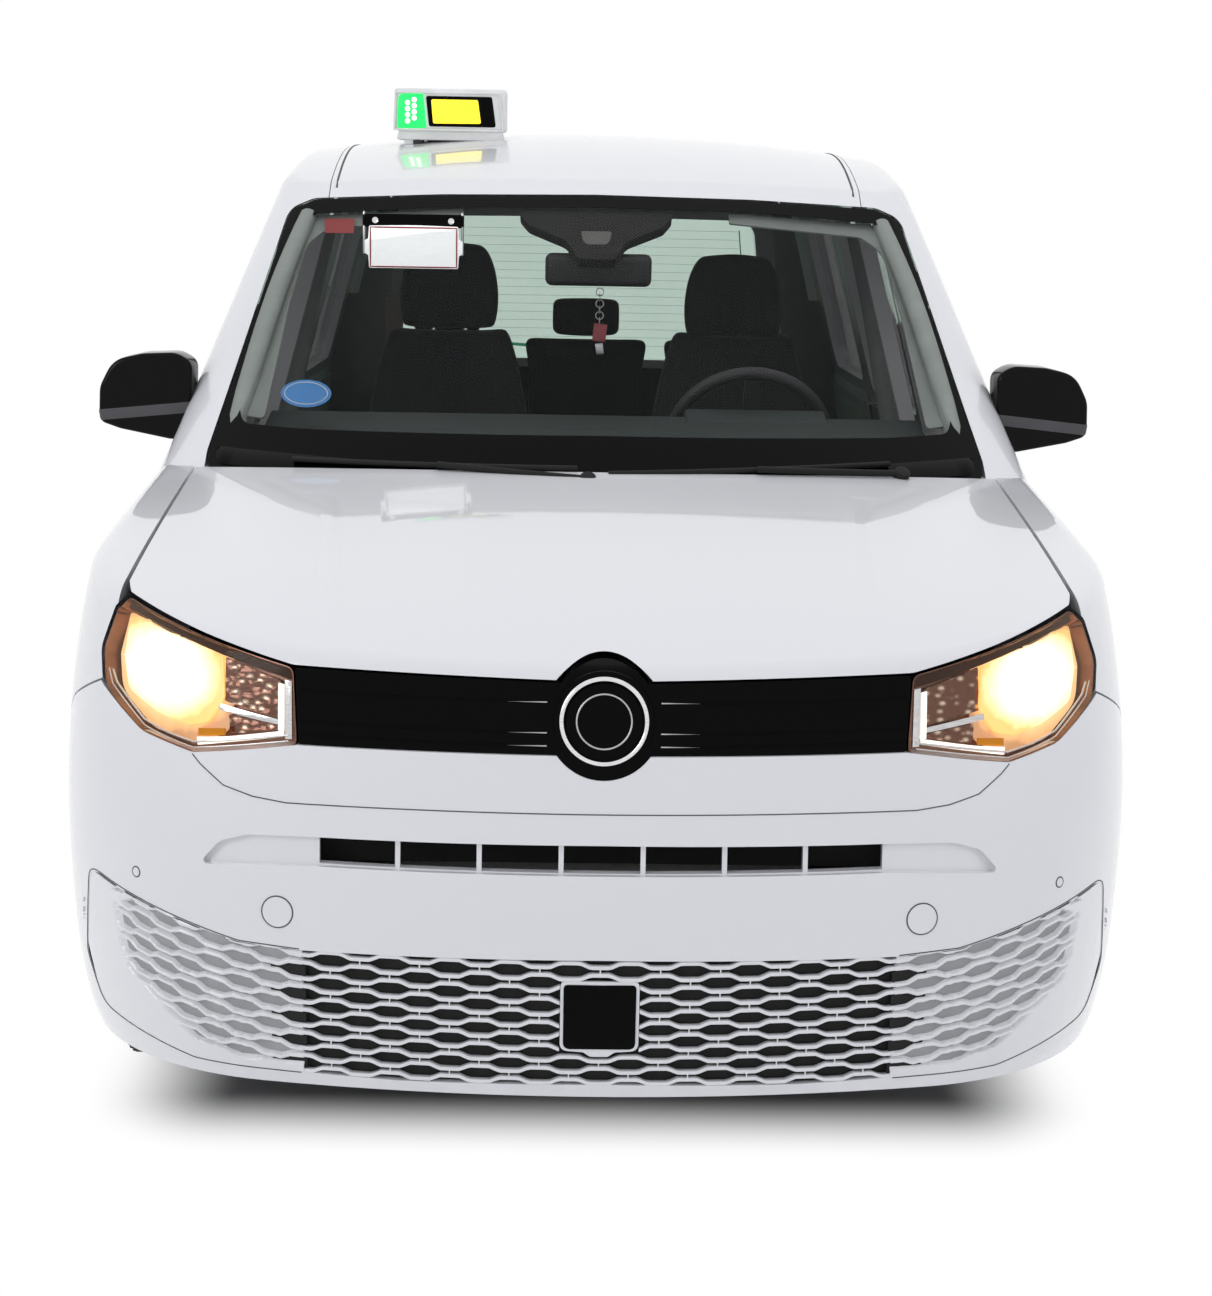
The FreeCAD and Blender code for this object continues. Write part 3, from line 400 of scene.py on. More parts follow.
class Finish:
    def __init__(self, name, slot, colour, roughness=0.5, **settings):
        self.material = bpy.data.materials.new(name)
        self.material.use_nodes = True
        self.slot = slot
        self.tree = self.material.node_tree
        self.shader = self.tree.nodes["Principled BSDF"]
        self.place = None
        self.put("Base Color", colour)
        self.put("Roughness", roughness)
        for key, value in settings.items():
            self.put(key.replace("_", " "), value)

    def join(self, socket, value):
        if isinstance(value, Reading):
            self.tree.links.new(value.socket, socket)
        elif isinstance(value, (tuple, list)) and len(socket.default_value) == 4:
            socket.default_value = (*value[:3], 1)
        else:
            socket.default_value = value

    def put(self, name, value):
        self.join(self.shader.inputs[name], value)

    def node(self, kind, settings=None, inputs=None, out=0):
        node = self.tree.nodes.new(kind)
        for key, value in (settings or {}).items():
            if key == "stops":
                ramp = node.color_ramp
                while len(ramp.elements) < len(value):
                    ramp.elements.new(0.5)
                for element, (place, colour) in zip(ramp.elements, value):
                    element.position = place
                    element.color = (*colour, 1)
            else:
                setattr(node, key, value)
        for key, value in (inputs or {}).items():
            self.join(node.inputs[key], value)
        return Reading(self, node.outputs[out])

    def at(self, axis=None):
        if not self.place:
            self.place = self.node("ShaderNodeTexCoord", out=3)
        if not axis:
            return self.place
        return self.node("ShaderNodeSeparateXYZ", inputs={0: self.place}, out="XYZ".index(axis))

    def stretched(self, scale):
        return self.node("ShaderNodeMapping", inputs={"Vector": self.at(), "Scale": scale})

    def noise(self, scale, detail, stretch=None):
        where = self.stretched(stretch) if stretch else self.at()
        return self.node("ShaderNodeTexNoise",
                         inputs={"Vector": where, "Scale": scale, "Detail": detail})

    def cells(self, scale, stretch=None):
        where = self.stretched(stretch) if stretch else self.at()
        return self.node("ShaderNodeTexVoronoi", inputs={"Vector": where, "Scale": scale})

    def blend(self, factor, first, second):
        return self.node("ShaderNodeMix", {"data_type": "RGBA"}, {0: factor, 6: first, 7: second},
                         2)

    def ramp(self, value, stops):
        return self.node("ShaderNodeValToRGB", {"stops": stops}, {0: value})

    def bump(self, height, distance, strength):
        self.put("Normal", self.node("ShaderNodeBump", inputs={
            "Height": height, "Distance": distance, "Strength": strength}))


def paintFinish(name, slot, colour):
    finish = Finish(name, slot, colour, 0.34, Coat_Weight=1.0, Coat_Roughness=0.03)
    peel = finish.noise(260, 2)
    dust = (0.42 - finish.at("Z")).rise(0.0, 0.42) * finish.noise(9, 4).rise(0.42, 0.75)
    grime = tuple(v * 0.72 for v in colour)
    finish.put("Base Color", finish.blend(dust * 0.5, colour, grime))
    finish.put("Roughness", finish.noise(6, 3) * 0.08 + dust * 0.25 + 0.3)
    finish.bump(peel, 0.0002, 0.12)
    return finish


def mouldedFinish(name, slot, colour, roughness=0.55, grain=700):
    finish = Finish(name, slot, colour, roughness)
    pebbles = finish.cells(grain)
    worn = finish.noise(14, 4)
    finish.put("Base Color", finish.blend(worn.rise(0.4, 0.8) * 0.5, colour,
                                          tuple(min(1, v * 1.35 + 0.006) for v in colour)))
    finish.put("Roughness", worn * 0.16 + roughness - 0.08)
    finish.bump(pebbles, 0.0004, 0.35)
    return finish


def polishedFinish(name, slot, colour, roughness=0.08):
    finish = Finish(name, slot, colour, roughness, Coat_Weight=0.05, Coat_Roughness=0.02,
                    Specular_IOR_Level=0.03)
    haze = finish.noise(22, 4)
    finish.put("Roughness", haze * 0.08 + roughness)
    finish.bump(finish.noise(300, 2), 0.0001, 0.08)
    return finish


def metalFinish(name, slot, colour, roughness=0.25, metallic=1.0):
    finish = Finish(name, slot, colour, roughness, Metallic=metallic)
    streak = finish.noise(60, 4, (1, 1, 8))
    finish.put("Roughness", streak * 0.14 + roughness - 0.07)
    finish.put("Base Color", finish.blend(streak.rise(0.35, 0.7), colour,
                                          tuple(v * 0.86 for v in colour)))
    finish.bump(finish.noise(400, 2), 0.0001, 0.1)
    return finish


def paneFinish(name, slot, colour, alpha, edge):
    finish = Finish(name, slot, colour, 0.03, Coat_Weight=0.2, Coat_Roughness=0.01,
                    Specular_IOR_Level=0.25)
    facing = finish.node("ShaderNodeLayerWeight", inputs={"Blend": 0.35}, out=1)
    film = finish.noise(5, 4)
    finish.put("Alpha", facing * edge + alpha + film * 0.03)
    finish.put("Roughness", film * 0.04 + 0.01)
    return finish


def clothFinish(name, colour, thread=900):
    finish = Finish(name, "seat_cloth", colour, 0.9, Sheen_Weight=0.08, Sheen_Roughness=0.5)
    weft = (finish.at("X") * thread + finish.at("Z") * 37).wave()
    warp = (finish.at("Z") * thread + finish.at("Y") * thread).wave()
    weave = weft * warp
    fleck = finish.noise(500, 3)
    finish.put("Base Color", finish.blend(weave.rise(-0.6, 0.8) * 0.6 + fleck * 0.3, colour,
                                          tuple(v * 2.1 + 0.01 for v in colour)))
    finish.bump(weave + fleck * 0.6, 0.0004, 0.4)
    return finish


def glowFinish(name, slot, colour, strength):
    finish = Finish(name, slot, colour, 0.3, Emission_Strength=strength)
    ripple = finish.cells(160)
    finish.put("Emission Color", finish.blend(ripple.rise(0.1, 0.7), colour,
                                              tuple(v * 0.82 for v in colour)))
    return finish


white = (0.80, 0.80, 0.815)
bodyPaint = paintFinish("bodyPaint", "body_paint", white)
shutPaint = paintFinish("shutPaint", "frame_paint", white)
blackPlastic = mouldedFinish("blackPlastic", "dark_plastic", (0.018, 0.018, 0.02))
pitchBlack = mouldedFinish("pitchBlack", "dark_plastic", (0.004, 0.004, 0.004), 0.85)
greyPlastic = mouldedFinish("greyPlastic", "dash_plastic", (0.030, 0.038, 0.036), 0.6)
glossBlack = polishedFinish("glossBlack", "gloss_black", (0.0013, 0.0013, 0.0015))
sealRubber = mouldedFinish("sealRubber", "dark_plastic", (0.01, 0.01, 0.01), 0.7, 1200)
seamShadow = mouldedFinish("seamShadow", "dark_plastic", (0.09, 0.09, 0.095), 0.8, 1500)
chrome = metalFinish("chrome", "rim_alloy", (0.78, 0.78, 0.8), 0.12)
satinSilver = metalFinish("satinSilver", "rim_alloy", (0.5, 0.5, 0.52), 0.35)
alloy = metalFinish("alloy", "rim_alloy", (0.42, 0.43, 0.45), 0.32, 0.85)
steel = metalFinish("steel", "chassis_steel", (0.16, 0.155, 0.15), 0.5, 0.8)
castIron = metalFinish("castIron", "cast_metal", (0.2, 0.19, 0.18), 0.55, 0.8)
engineAlloy = metalFinish("engineAlloy", "engine_alloy", (0.3, 0.3, 0.3), 0.5, 0.8)
underCoat = mouldedFinish("underCoat", "underbody", (0.035, 0.035, 0.037), 0.8, 260)
screenGlass = paneFinish("screenGlass", "clear_glass", (0.006, 0.010, 0.008), 0.05, 0.09)
sideGlass = paneFinish("sideGlass", "clear_glass", (0.02, 0.03, 0.026), 0.55, 0.25)
rearGlass = paneFinish("rearGlass", "clear_glass", (0.16, 0.36, 0.25), 0.27, 0.15)
# painted light: the rear glass glows green so that it reads bright and pale, though it is no lamp
rearGlass.shader.inputs["Emission Color"].default_value = (0.03, 0.5, 0.24, 1)
rearGlass.shader.inputs["Emission Strength"].default_value = 0.5
lensGlass = paneFinish("lensGlass", "lamp_lens", (0.26, 0.15, 0.09), 0.04, 0.25)
seatCloth = clothFinish("seatCloth", (0.010, 0.0105, 0.012))
panelCloth = clothFinish("panelCloth", (0.022, 0.023, 0.025), 600)
roofCloth = clothFinish("roofCloth", (0.05, 0.055, 0.052), 1100)
signWhite = mouldedFinish("signWhite", "sign_plastic", (0.80, 0.81, 0.80), 0.4)
blankWhite = mouldedFinish("blankWhite", "sign_plastic", (0.78, 0.78, 0.75), 0.45)
lampCream = glowFinish("lampCream", "lamp_lens", (1.0, 0.93, 0.74), 1.7)
whiteLight = glowFinish("whiteLight", "lamp_lens", (1.0, 0.95, 0.85), 1.0)
yellowLight = glowFinish("yellowLight", "sign_plastic", (1.0, 0.80, 0.03), 1.0)
greenLight = glowFinish("greenLight", "sign_plastic", (0.01, 0.68, 0.12), 1.0)


def tyreFinish():
    finish = mouldedFinish("tyreRubber", "tyre_rubber", (0.016, 0.016, 0.017), 0.75, 900)
    dust = finish.noise(11, 4).rise(0.45, 0.75)
    finish.put("Base Color", finish.blend(dust * 0.6, (0.014, 0.014, 0.015), (0.06, 0.056, 0.05)))
    return finish


def tailFinish():
    finish = Finish("tailRed", "tail_lens", (0.35, 0.012, 0.012), 0.1, Coat_Weight=1.0,
                    Coat_Roughness=0.02, Alpha=0.82, Emission_Color=(0.5, 0.01, 0.01),
                    Emission_Strength=0.12)
    prism = (finish.at("Z") * 900).wave() * (finish.at("X") * 900).wave()
    finish.put("Base Color", finish.blend(prism.rise(-0.5, 0.7) * 0.6, (0.38, 0.012, 0.012),
                                          (0.16, 0.004, 0.006)))
    finish.bump(prism, 0.0006, 0.4)
    return finish


tyreRubber = tyreFinish()
tailRed = tailFinish()
amberLens = polishedFinish("amberLens", "tail_lens", (0.85, 0.32, 0.01))
print("finishes made")

# the CAD nodes take their finishes
dressed = {
    bodyPaint: ["roof_panel", "left_front_wing", "right_front_wing", "front_bumper",
                "rear_bumper", "left_sliding_door", "right_sliding_door", "left_front_door",
                "right_front_door", "bonnet", "tailgate"],
    shutPaint: ["left_side_frame", "right_side_frame"],
    underCoat: ["floor_pan"], glossBlack: ["radiator_grille", "left_door_mirror",
                                           "right_door_mirror"],
    pitchBlack: ["lower_grille"], screenGlass: ["windscreen"],
    sideGlass: ["left_quarter_window", "right_quarter_window", "left_sliding_glass",
                "right_sliding_glass", "left_door_glass", "right_door_glass"],
    rearGlass: ["tailgate_glass"],
    tailRed: ["left_tail_light", "right_tail_light"], lampCream: ["left_headlight",
                                                                 "right_headlight"],
    seatCloth: ["driver_seat", "passenger_seat", "rear_bench"],
    greyPlastic: ["dashboard"], blackPlastic: ["fuel_tank", "steering_wheel"],
    engineAlloy: ["engine_block", "radiator"], steel: ["front_subframe", "rear_axle", "exhaust"],
    signWhite: ["roof_sign"], castIron: ["left_knuckle", "right_knuckle"],
    tyreRubber: ["front_left_tyre", "front_right_tyre", "rear_left_tyre", "rear_right_tyre"],
    alloy: ["front_left_rim", "front_right_rim", "rear_left_rim", "rear_right_rim"],
}
for finish, names in dressed.items():
    for name in names:
        mesh = nodes[name].data
        mesh.materials.clear()
        mesh.materials.append(finish.material)
print("nodes dressed")


# camera, floor and lamps
viewpoint = {"place": (-0.0761, -5.6484, 1.6359), "turn": (79.0175, -1.004, -1.0828), "lens": 63.03}
only()
bpy.ops.object.camera_add(location=viewpoint["place"],
                          rotation=[math.radians(v) for v in viewpoint["turn"]])
camera = bpy.context.object
camera.data.lens = viewpoint["lens"]
camera.data.sensor_width = 36
camera.data.clip_end = 200
bpy.context.scene.camera = camera
bpy.context.scene.view_settings.view_transform = "Standard"


def studio():
    lamps = {"over": ((0, -0.5, 6.5), (0, 0, 0), (7, 9), 190),
             "frontLeft": ((-5, -6, 3.6), (58, 0, -40), (3, 3), 122),
             "frontRight": ((6, -5, 2.6), (62, 0, 50), (2.5, 3), 90),
             "back": ((1, 8, 4), (-62, 0, 0), (5, 3), 90)}
    for name, (place, turn, size, power) in lamps.items():
        bpy.ops.object.light_add(type="AREA", location=place,
                                 rotation=[math.radians(v) for v in turn])
        lamp = bpy.context.object
        lamp.name = name
        lamp.data.shape = "RECTANGLE"
        lamp.data.size, lamp.data.size_y = size
        lamp.data.energy = power
        lamp.visible_glossy = name == "frontLeft"
    world = bpy.data.worlds.new("studio")
    bpy.context.scene.world = world
    world.use_nodes = True
    tree = world.node_tree
    plain = tree.nodes["Background"]
    plain.inputs["Color"].default_value = (0.86, 0.9, 1.0, 1)
    plain.inputs["Strength"].default_value = 0.42
    seen = tree.nodes.new("ShaderNodeBackground")
    seen.inputs["Color"].default_value = (1, 1, 1, 1)
    seen.inputs["Strength"].default_value = 1.0
    rays = tree.nodes.new("ShaderNodeLightPath")
    either = tree.nodes.new("ShaderNodeMath")
    either.operation = "MAXIMUM"
    both = tree.nodes.new("ShaderNodeMath")
    both.operation = "MAXIMUM"
    tree.links.new(rays.outputs["Is Camera Ray"], either.inputs[0])
    tree.links.new(rays.outputs["Is Glossy Ray"], either.inputs[1])
    tree.links.new(either.outputs[0], both.inputs[0])
    tree.links.new(rays.outputs["Is Transmission Ray"], both.inputs[1])
    mix = tree.nodes.new("ShaderNodeMixShader")
    tree.links.new(both.outputs[0], mix.inputs[0])
    tree.links.new(plain.outputs[0], mix.inputs[1])
    tree.links.new(seen.outputs[0], mix.inputs[2])
    tree.links.new(mix.outputs[0], tree.nodes["World Output"].inputs[0])


def studioFloor():
    only()
    bpy.ops.mesh.primitive_grid_add(x_subdivisions=8, y_subdivisions=8, size=60)
    floor = bpy.context.object
    floor.name = "studioFloor"
    finish = Finish("floorWhite", None, (0.93, 0.93, 0.93), 0.9)
    # away from the car the floor is the plain white of the backdrop
    out = (abs(finish.at("X")) - 0.66).larger(0)
    ahead = (finish.at("Y") * -1 - 1.62).larger(finish.at("Y") - 1.95).larger(0)
    reach = (out * out + ahead * ahead) ** 0.5 + finish.noise(2, 2) * 0.01
    # painted shadow: the floor's colour darkens to 0.22 grey near and under the car
    finish.put("Base Color", finish.blend(reach.rise(0.0, 0.3), (0.22, 0.22, 0.225),
                                          (0.92, 0.92, 0.92)))
    rays = finish.tree.nodes.new("ShaderNodeLightPath")
    seen = Reading(finish, rays.outputs["Is Camera Ray"])
    seen = seen.larger(Reading(finish, rays.outputs["Is Glossy Ray"]))
    seen = seen.larger(Reading(finish, rays.outputs["Is Transmission Ray"]))
    plain = finish.node("ShaderNodeEmission", inputs={"Color": (1, 1, 1), "Strength": 1.0})
    lit = Reading(finish, finish.shader.outputs[0])
    mixed = finish.node("ShaderNodeMixShader", inputs={0: reach.rise(0.0, 0.30) * seen, 1: lit,
                                                       2: plain})
    finish.tree.links.new(mixed.socket, finish.tree.nodes["Material Output"].inputs[0])
    floor.data.materials.append(finish.material)


studio()
studioFloor()
print("stage set")


# nose
def mirroredRoute(points):
    # the right half of a route given for the left, then the left half
    return [(-a, b) for a, b in points] + [(a, b) for a, b in reversed(points) if a]


def facing(piece, place, normal):
    # stands a piece made around the origin, looking along -Y, on a surface
    piece.rotation_mode = "QUATERNION"
    piece.rotation_quaternion = Vector((0, -1, 0)).rotation_difference(normal)
    piece.location = place
    return piece


lampBronze = metalFinish("lampBronze", "gloss_black", (0.20, 0.105, 0.075), 0.3)
browBrown = polishedFinish("browBrown", "gloss_black", (0.035, 0.02, 0.017), 0.2)


def lampFringeFinish(name, tones, strength, spread=1.0):
    # bright in the middle of the lamp and orange towards its edge
    glow = {"x": 0.712, "z": 0.888, "halfWidth": 0.104, "halfHeight": 0.078}
    finish = Finish(name, "lamp_lens", (0.6, 0.4, 0.2), 0.3, Emission_Strength=strength)
    across = (abs(finish.at("X")) - glow["x"]) / (glow["halfWidth"] * spread)
    up = (finish.at("Z") - glow["z"]) / (glow["halfHeight"] * spread)
    reach = (across * across + up * up) ** 0.5 + finish.noise(38, 3) * 0.22 - 0.11
    finish.put("Emission Color", finish.ramp(reach, tones))
    return finish


lampGlow = lampFringeFinish("lampGlow", [(0.0, (1.0, 0.98, 0.93)), (0.62, (1.0, 0.95, 0.8)),
                                         (0.86, (1.0, 0.78, 0.38)), (1.0, (0.85, 0.42, 0.1))], 1.5)
lampFringe = lampFringeFinish("lampFringe", [(0.0, (1.0, 0.8, 0.5)), (0.72, (1.0, 0.62, 0.28)),
                                             (0.92, (0.85, 0.40, 0.16)),
                                             (1.0, (0.42, 0.18, 0.08))], 1.0, 1.28)


def facetedFinish():
    finish = metalFinish("facetedChrome", "rim_alloy", (0.52, 0.36, 0.28), 0.16)
    # the facets are painted bright and dark in the colour: painted reflections on the chrome
    facets = finish.cells(55, (1, 1, 1.6))
    finish.put("Base Color", finish.blend(facets.rise(0.05, 0.5), (0.75, 0.58, 0.45),
                                          (0.16, 0.08, 0.06)))
    finish.bump(facets, 0.004, 0.9)
    return finish


facetedChrome = facetedFinish()
# grey for the sunk leaves of the grille inserts: painted shade in their hollows
leafPaintedShade = mouldedFinish("leafPaintedShade", "body_paint", (0.34, 0.34, 0.345), 0.5)


def headlight():
    lamp = {"outline": [(484, 798, 12), (654, 774, 30), (745, 793, 60), (822, 844, 40),
                        (832, 900, 40), (809, 964, 20), (788, 984, 12), (640, 949, 80),
                        (492, 915, 14)],
            "glow": [(800, 962, 12), (757, 960, 20), (683, 946, 30), (617, 926, 6),
                     (612, 862, 10), (640, 822, 20), (677, 814, 20), (728, 824, 20),
                     (792, 850, 20), (806, 898, 20)],
            "fringe": [(808, 972, 14), (757, 968, 20), (683, 950, 30), (604, 936, 6),
                       (600, 852, 10), (606, 812, 20), (654, 786, 30), (744, 799, 50),
                       (815, 846, 40), (825, 898, 20)],
            "reflector": [(614, 926, 3), (518, 896, 3), (518, 838, 3), (614, 858, 3)],
            "brow": [(786, 982, 4), (640, 948, 80), (492, 914, 4), (492, 897, 3),
                     (560, 914, 40), (620, 930, 60), (683, 948, 60), (757, 966, 30),
                     (792, 972, 3)],
            "shelf": [(616, 853, 2), (516, 835, 2), (516, 827, 2), (618, 843, 2)],
            "amber": [(652, 811, 1), (606, 815, 1), (606, 804, 1), (652, 799, 1)],
            "guide": [(652, 797, 1), (600, 803, 4), (507, 818, 1), (507, 809, 1),
                      (600, 794, 4), (650, 785, 1)],
            "cream_bar": [(517, 892, 1), (508, 890, 1), (507, 818, 1), (516, 818, 1)],
            "silver_bar": [(505, 897, 1), (494, 895, 1), (492, 806, 1), (503, 806, 1)],
            "wedge": [(606, 838, 3), (520, 826, 3), (509, 820, 3), (560, 812, 10), (603, 808, 3)]}
    node = ["left_headlight"]

    # housing: the lens shape sunk 34 mm, open at the front
    bowl = lay(sliced(flat("front", lamp["outline"]), "front", 0.014), "front", node, -0.0015)
    faceTo(bowl, "front")
    front = len(bowl.data.polygons)
    modify(bowl, "SOLIDIFY", thickness=0.034, offset=-1)
    editing(bowl, "DESELECT")
    bpy.ops.mesh.select_mode(type="FACE")
    bpy.ops.object.mode_set(mode="OBJECT")
    for i, face in enumerate(bowl.data.polygons):
        face.select = i < front
    bpy.ops.object.mode_set(mode="EDIT")
    bpy.ops.mesh.delete(type="FACE")
    bpy.ops.mesh.select_all(action="SELECT")
    bpy.ops.mesh.flip_normals()
    bpy.ops.object.mode_set(mode="OBJECT")
    modify(bowl, "SOLIDIFY", thickness=0.0015, offset=-1)
    bothSides(bowl, "side_lamp_housing", lampBronze)
    for side in ("left", "right"):
        standIns.append((side + "_lamp_housing", [side + "_headlight"]))
    # what stands in the housing: how far behind the lens and how thick, in mm
    for name, out, thick, finish, bevel in (
            ("fringe", -26, 3, lampFringe, 0), ("glow", -18, 5, lampGlow, 0),
            ("reflector", -22, 3, facetedChrome, 0), ("wedge", -24, 3, facetedChrome, 0),
            ("brow", -6, 4, browBrown, 0), ("shelf", -12, 6, chrome, 1),
            ("amber", -12, 4, amberLens, 0), ("guide", -8, 6, whiteLight, 1),
            ("cream_bar", -10, 6, whiteLight, 1), ("silver_bar", -6, 6, chrome, 1)):
        piece = skin("front", lamp[name], node, out * mm, thick * mm, 0.012, bevel * mm)
        bothSides(piece, "side_lamp_" + name, finish)
    # two bright lines that follow the lower edge
    for i, (lift, radius) in enumerate([(0.005, 0.0013), (0.014, 0.0017)]):
        route = [(0.828 - lift, 0.872), (0.818 - lift, 0.848 + lift / 2), (0.745, 0.796 + lift),
                 (0.700, 0.783 + lift), (0.654, 0.775 + lift), (0.60, 0.783 + lift),
                 (0.497, 0.798 + lift)]
        line = traced("front", route, node, radius, -0.005, 0.012)
        bothSides(line, "side_lamp_line_%d" % i, chrome)
    # flutes inside the glow, seen as soft ridges
    for i, (x, low, high) in enumerate([(0.765, 0.862, 0.948), (0.735, 0.845, 0.950),
                                        (0.70, 0.83, 0.945), (0.662, 0.83, 0.936)]):
        flute = traced("front", [(x, low), (x, high)], node, 0.0022, -0.0165, 0.012)
        bothSides(flute, "side_lamp_flute_%d" % i, lampGlow)
    bothSides(skin("front", lamp["outline"], node, -0.0002, 0.002, 0.012), "side_lamp_lens",
              lensGlass)


headlight()
print("headlights made")


def badgeAndBand():
    badge = {"z": 0.851, "disc": 0.079, "ring": 0.0665, "ringBar": 0.0042, "dish": 0.060,
             "fine": 0.043, "fineBar": 0.0016}
    place, normal = touch("front", 0, badge["z"], ["radiator_grille"])
    normal = Vector((0, normal.y, normal.z * 0.6)).normalized()
    disc = facing(wheelOf(badge["disc"], 0.006, origin, "Y", 96, 0.002, 0.006, 0.0015),
                  place + normal * 0.002, normal)
    settle(disc, "badge_disc", glossBlack)
    ring = hoop(badge["ring"], badge["ringBar"], origin, segments=96)
    settle(facing(ring, place + normal * 0.0065, normal), "badge_ring", chrome)
    dish = wheelOf(badge["dish"], 0.004, origin, "Y", 96, 0.0015, 0.012, 0.001)
    settle(facing(dish, place + normal * 0.0065, normal), "badge_dish", glossBlack)
    fine = hoop(badge["fine"], badge["fineBar"], origin, segments=72)
    settle(facing(fine, place + normal * 0.0088, normal), "badge_inner_ring", satinSilver)
    # ribs along the black band, with a bright end beside the badge
    for i, z in enumerate((0.878, 0.831, 0.811)):
        reach = [(0.088, z), (0.300, z + 0.001), (0.478, z + 0.003)]
        rib = traced("front", reach, ["radiator_grille"], 0.0016, 0.0006, 0.03)
        bothSides(rib, "side_band_rib_%d" % i, glossBlack)
        end = traced("front", [(0.089, z), (0.150, z)], ["radiator_grille"], 0.0014, 0.0016, 0.01)
        for vertex in end.data.vertices:
            fade = 1 - min(1, max(0, (abs(vertex.co.x) - 0.089) / 0.061)) * 0.85
            vertex.co.z = z + (vertex.co.z - z) * fade
        bothSides(end, "side_band_line_%d" % i, satinSilver)


badgeAndBand()


def bumperDetails():
    # fine dark joints, round covers and sensors
    joint = [(0.6535, 0.7705), (0.640, 0.757), (0.601, 0.728), (0.552, 0.714), (0.498, 0.7075),
             (0.300, 0.708), (0.0, 0.708)]
    settle(traced("front", mirroredRoute(joint), ["front_bumper"], 0.0011, -0.0002, 0.015),
           "bumper_joint", seamShadow)
    for name, x, z, radius in (("cover", 0.512, 0.533, 0.0256), ("sensor", 0.752, 0.566, 0.0085)):
        place, normal = touch("front", x, z, ["front_bumper"])
        edge = hoop(radius, 0.0011, origin)
        bothSides(facing(edge, place, normal), "side_bumper_%s_joint" % name, seamShadow)
        plate = wheelOf(radius - 0.001, 0.003, origin, "Y", 64, 0.0006, radius * 0.12, 0.0001)
        bothSides(facing(plate, place - normal * 0.0006, normal), "side_bumper_" + name, bodyPaint)
    duct = slab("front", oblong(-462, 668, 462, 602, 4), fromNose(112), fromNose(116), 0.001)
    settle(duct, "slot_backing", pitchBlack)


bumperDetails()
print("bumper details made")


comb = {"pitch": 0.020, "period": 0.095, "top": 0.467, "rows": 11, "swing": 0.0037,
        "bar": 0.0065, "open": 0.480, "proud": 0.013}


def rowRise(x):
    # the rows climb towards the corners of the bumper
    return 0.062 * (max(0.0, abs(x) - 0.45) / 0.336) ** 1.5


def arcOf(x):
    # and their waves grow shorter
    far = max(0.0, abs(x) - 0.5)
    return abs(x) + 0.045 * (far / 0.286) ** 3


def waveAt(x, row):
    # a flat-topped wave, its sign changing from row to row
    turn = math.cos(2 * math.pi * arcOf(x) / comb["period"])
    shaped = max(-1.0, min(1.0, turn * 1.9))
    return (1 if row % 2 else -1) * comb["swing"] * shaped


def rowHeight(x, row):
    return comb["top"] - comb["pitch"] * row + rowRise(x) + waveAt(x, row)


def honeycomb():
    radarHalf, radarLow, radarHigh = 0.062, 0.324, 0.440
    bars = []
    for row in range(comb["rows"]):
        z = comb["top"] - comb["pitch"] * row
        inner = radarHalf + 0.001 if radarLow - 0.004 < z < radarHigh + 0.004 else 0.0
        spans = [(-comb["open"], comb["open"])]
        if inner:
            spans = [(-comb["open"], -inner), (inner, comb["open"])]
        for low, high in spans:
            only()
            count = round((high - low) / 0.006)
            bpy.ops.mesh.primitive_grid_add(x_subdivisions=count, y_subdivisions=1, size=1)
            bar = bpy.context.object
            for vertex in bar.data.vertices:
                x = low + (high - low) * (vertex.co.x + 0.5)
                edge = comb["bar"] / 2 * (1 if vertex.co.y > 0 else -1)
                place = touch("front", x, rowHeight(x, row), ["lower_grille"])[0]
                vertex.co = place + Vector((0, -comb["proud"], edge))
            faceTo(bar, "front")
            modify(bar, "SOLIDIFY", thickness=0.012, offset=-1)
            modify(bar, "BEVEL", width=0.0016, segments=2, limit_method="ANGLE")
            bars.append(bar)
    # struts where neighbouring rows come close
    for row in range(comb["rows"] - 1):
        for k in range(-10, 11):
            x = (k + (0.5 if row % 2 else 0)) * comb["period"]
            z = comb["top"] - comb["pitch"] * (row + 0.5)
            byRadar = abs(x) < 0.07 and radarLow - 0.01 < z < radarHigh + 0.01
            if byRadar or abs(x) > comb["open"] - 0.01:
                continue
            place = touch("front", x, z + rowRise(x), ["lower_grille"])[0]
            bars.append(block((0.0022, 0.008, 0.010), place + Vector((0, -0.008, 0)), 0.0005, 1))
    settle(joined(bars), "grille_comb", bodyPaint)


leafEnds = [(0.580, 0.285), (0.651, 0.303), (0.691, 0.338), (0.726, 0.369), (0.762, 0.395),
            (0.775, 0.433), (0.781, 0.470), (0.787, 0.500), (0.74, 0.523)]


def leafField(x, z):
    # 1 well inside the field of leaves, 0 on its outer border
    end = 0.79
    for (x0, z0), (x1, z1) in zip(leafEnds, leafEnds[1:]):
        if z0 <= z <= z1:
            end = x0 + (x1 - x0) * (z - z0) / (z1 - z0)
    if z < leafEnds[0][1]:
        end = leafEnds[0][0]
    topLine = comb["top"] + rowRise(x) + 0.004
    margin = min(end + 0.004 - x, topLine - z, z - 0.276)
    return max(0.0, min(1.0, margin / 0.010))


